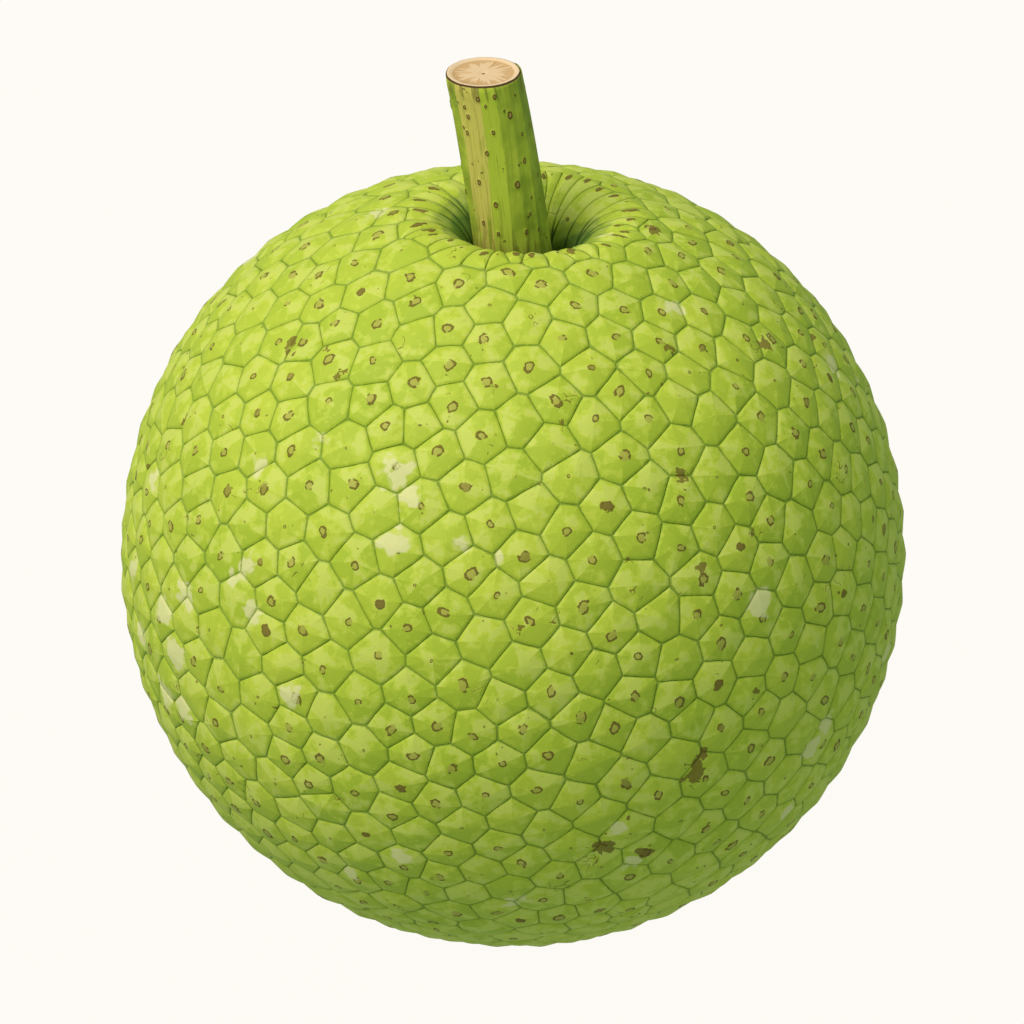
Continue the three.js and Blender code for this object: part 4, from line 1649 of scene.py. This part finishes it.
    def rank(self, item: bmesh.types.BMEdge | bmesh.types.BMFace) -> int:
        """Number by which edges or faces sort the same way on each run, from their points."""
        numbers, count = [vert.index for vert in item.verts], len(self.bm.verts)
        return (min(numbers) * count + max(numbers)) * 4 * count + sum(numbers)

    def mark_faces(self) -> list[int]:
        """Sharpen the ridges, and give the cut face its own material and UV map.

        Returns:
            Number of the flat that each face belongs to.
        """
        for edge in self.bm.edges:
            first, second = (vert[self.column] for vert in edge.verts)
            edge.smooth = first != second or first % self.strips > 0
        flats = []
        cut_map = self.bm.loops.layers.uv.new("cut_map")
        for face in self.bm.faces:
            face.smooth = True
            columns = [vert[self.column] for vert in face.verts]
            closes = max(columns) - min(columns) > len(self.angles) / 2
            flats.append((max(columns) if closes else min(columns)) // self.strips)
            face.material_index = int(max(vert[self.inset] for vert in face.verts) > 0.01)
            for loop in face.loops:
                turn = math.radians(self.angles[loop.vert[self.column]])
                reach = 1 - max(loop.vert[self.inset], 0.0) / self.axis.top_radius
                reach = 0.0 if len(loop.vert.link_edges) > 9 else reach
                loop[cut_map].uv = (math.sin(turn) * reach, -math.cos(turn) * reach)
        return flats

    def measure(self) -> dict[str, list]:
        """Measure what the bark's material reads.

        Returns:
            For each point, its place on the straightened stalk in metres, its height from 0
            to 1, and how weathered the bark is.
        """
        begins, full, fades, ends = self.weathered
        straight, heights, weathered = [], [], []
        radius = self.axis.foot_radius * MM
        for vert in self.bm.verts:
            turn = math.radians(self.angles[vert[self.column]])
            straight.append((math.sin(turn) * radius, -math.cos(turn) * radius, vert.co.z * MM))
            heights.append(self.axis.share(vert.co.z))
            degrees = (self.angles[vert[self.column]] + 180) % 360 - 180
            band = smooth(degrees, begins, full) * smooth(degrees, ends, fades)
            weathered.append(float(band + 0.5 * smooth(abs(degrees), *self.weathered_back)))
        return {"straight": straight, "height": heights, "weathered": weathered}


@dataclass
class Studio:
    """Pale floor, soft light and camera."""

    floor_radius: float = 8.0
    floor_colour: Colour = (0.01, 0.01, 0.01)
    floor_glow: Colour = (0.982, 0.955, 0.911)
    sky_colour: Colour = (0.80, 1.0, 0.74)
    sky_strength: float = 0.465
    key_colour: Colour = (1.0, 0.925, 0.86)
    key_strength: float = 2.64
    key_softness: float = math.radians(38)
    key_azimuth: float = math.radians(-59)
    key_elevation: float = math.radians(55)
    camera_distance: float = 2.0
    camera_raise: float = math.atan(42.5 / 9787)
    camera_shift: float = -0.001
    lens: float = 344.8

    def build(self) -> None:
        """Set up the floor, the light and the camera."""
        self.build_floor()
        self.build_key()
        self.build_sky()
        self.build_camera()
        bpy.context.scene.view_settings.view_transform = "Standard"
        LOG.info("studio ready")

    def link(
        self, name: str, data: bpy.types.ID, place: Iterable[float], turn: Euler
    ) -> bpy.types.Object:
        """Link an object of the studio.

        Args:
            name: Name of the object.
            data: Its mesh, light or camera.
            place: Where it stands, in metres.
            turn: How it is turned.

        Returns:
            The linked object.
        """
        thing = bpy.data.objects.new(name, data)
        thing.location, thing.rotation_euler = place, turn
        bpy.context.scene.collection.objects.link(thing)
        return thing

    def build_floor(self) -> None:
        """Lay a round floor that glows evenly and casts no light on the fruit."""
        bm = bmesh.new()
        bmesh.ops.create_circle(bm, cap_ends=True, segments=96, radius=self.floor_radius)
        mesh = bpy.data.meshes.new("floor")
        bm.to_mesh(mesh)
        bm.free()
        sheet = Sheet("floor_paper")
        settings = {
            "Base Color": self.floor_colour,
            "Roughness": 0.9,
            "Specular IOR Level": 0.0,
            "Emission Color": self.floor_glow,
            "Emission Strength": 1.0,
        }
        for name, value in settings.items():
            sheet.feed(sheet.shader.inputs[name], value)
        mesh.materials.append(sheet.material)
        floor = self.link("floor", mesh, (0.0, 0.0, 0.0), Euler())
        floor.visible_diffuse = floor.visible_glossy = False

    def build_key(self) -> None:
        """Hang a soft key light to the upper left."""
        key = bpy.data.lights.new("key", "SUN")
        key.color, key.energy, key.angle = self.key_colour, self.key_strength, self.key_softness
        flat = math.cos(self.key_elevation)
        x, y = math.sin(self.key_azimuth) * flat, -math.cos(self.key_azimuth) * flat
        toward = Vector((x, y, math.sin(self.key_elevation)))
        self.link("key", key, (0.0, 0.0, 0.0), toward.to_track_quat("Z", "Y").to_euler())

    def build_sky(self) -> None:
        """Light the scene evenly from all round."""
        world = bpy.data.worlds.new("studio_sky")
        world.use_nodes = True
        sky = world.node_tree.nodes["Background"]
        sky.inputs["Color"].default_value = (*self.sky_colour, 1.0)
        sky.inputs["Strength"].default_value = self.sky_strength
        bpy.context.scene.world = world

    def build_camera(self) -> None:
        """Set a camera in front of the fruit, looking down on it."""
        data = bpy.data.cameras.new("camera")
        data.lens, data.sensor_width = self.lens, 36.0
        data.shift_x, data.clip_end = self.camera_shift, 100.0
        y = -self.camera_distance * math.cos(VIEW_ELEVATION)
        z = CENTRE_HEIGHT * MM + self.camera_distance * math.sin(VIEW_ELEVATION)
        pitch = math.pi / 2 - VIEW_ELEVATION + self.camera_raise
        camera = self.link("camera", data, (0.0, y, z), Euler((pitch, 0.0, 0.0)))
        bpy.context.scene.camera = camera


def main() -> None:
    """Load the frame, build the fruit, the stalk and the studio, and note the sizes."""
    logging.basicConfig(level=logging.INFO, format="%(name)s: %(message)s")
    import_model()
    Studio().build()
    axis = StalkAxis()
    Skin(axis).build()
    Stalk(axis).build()


if __name__ == "__main__":
    main()
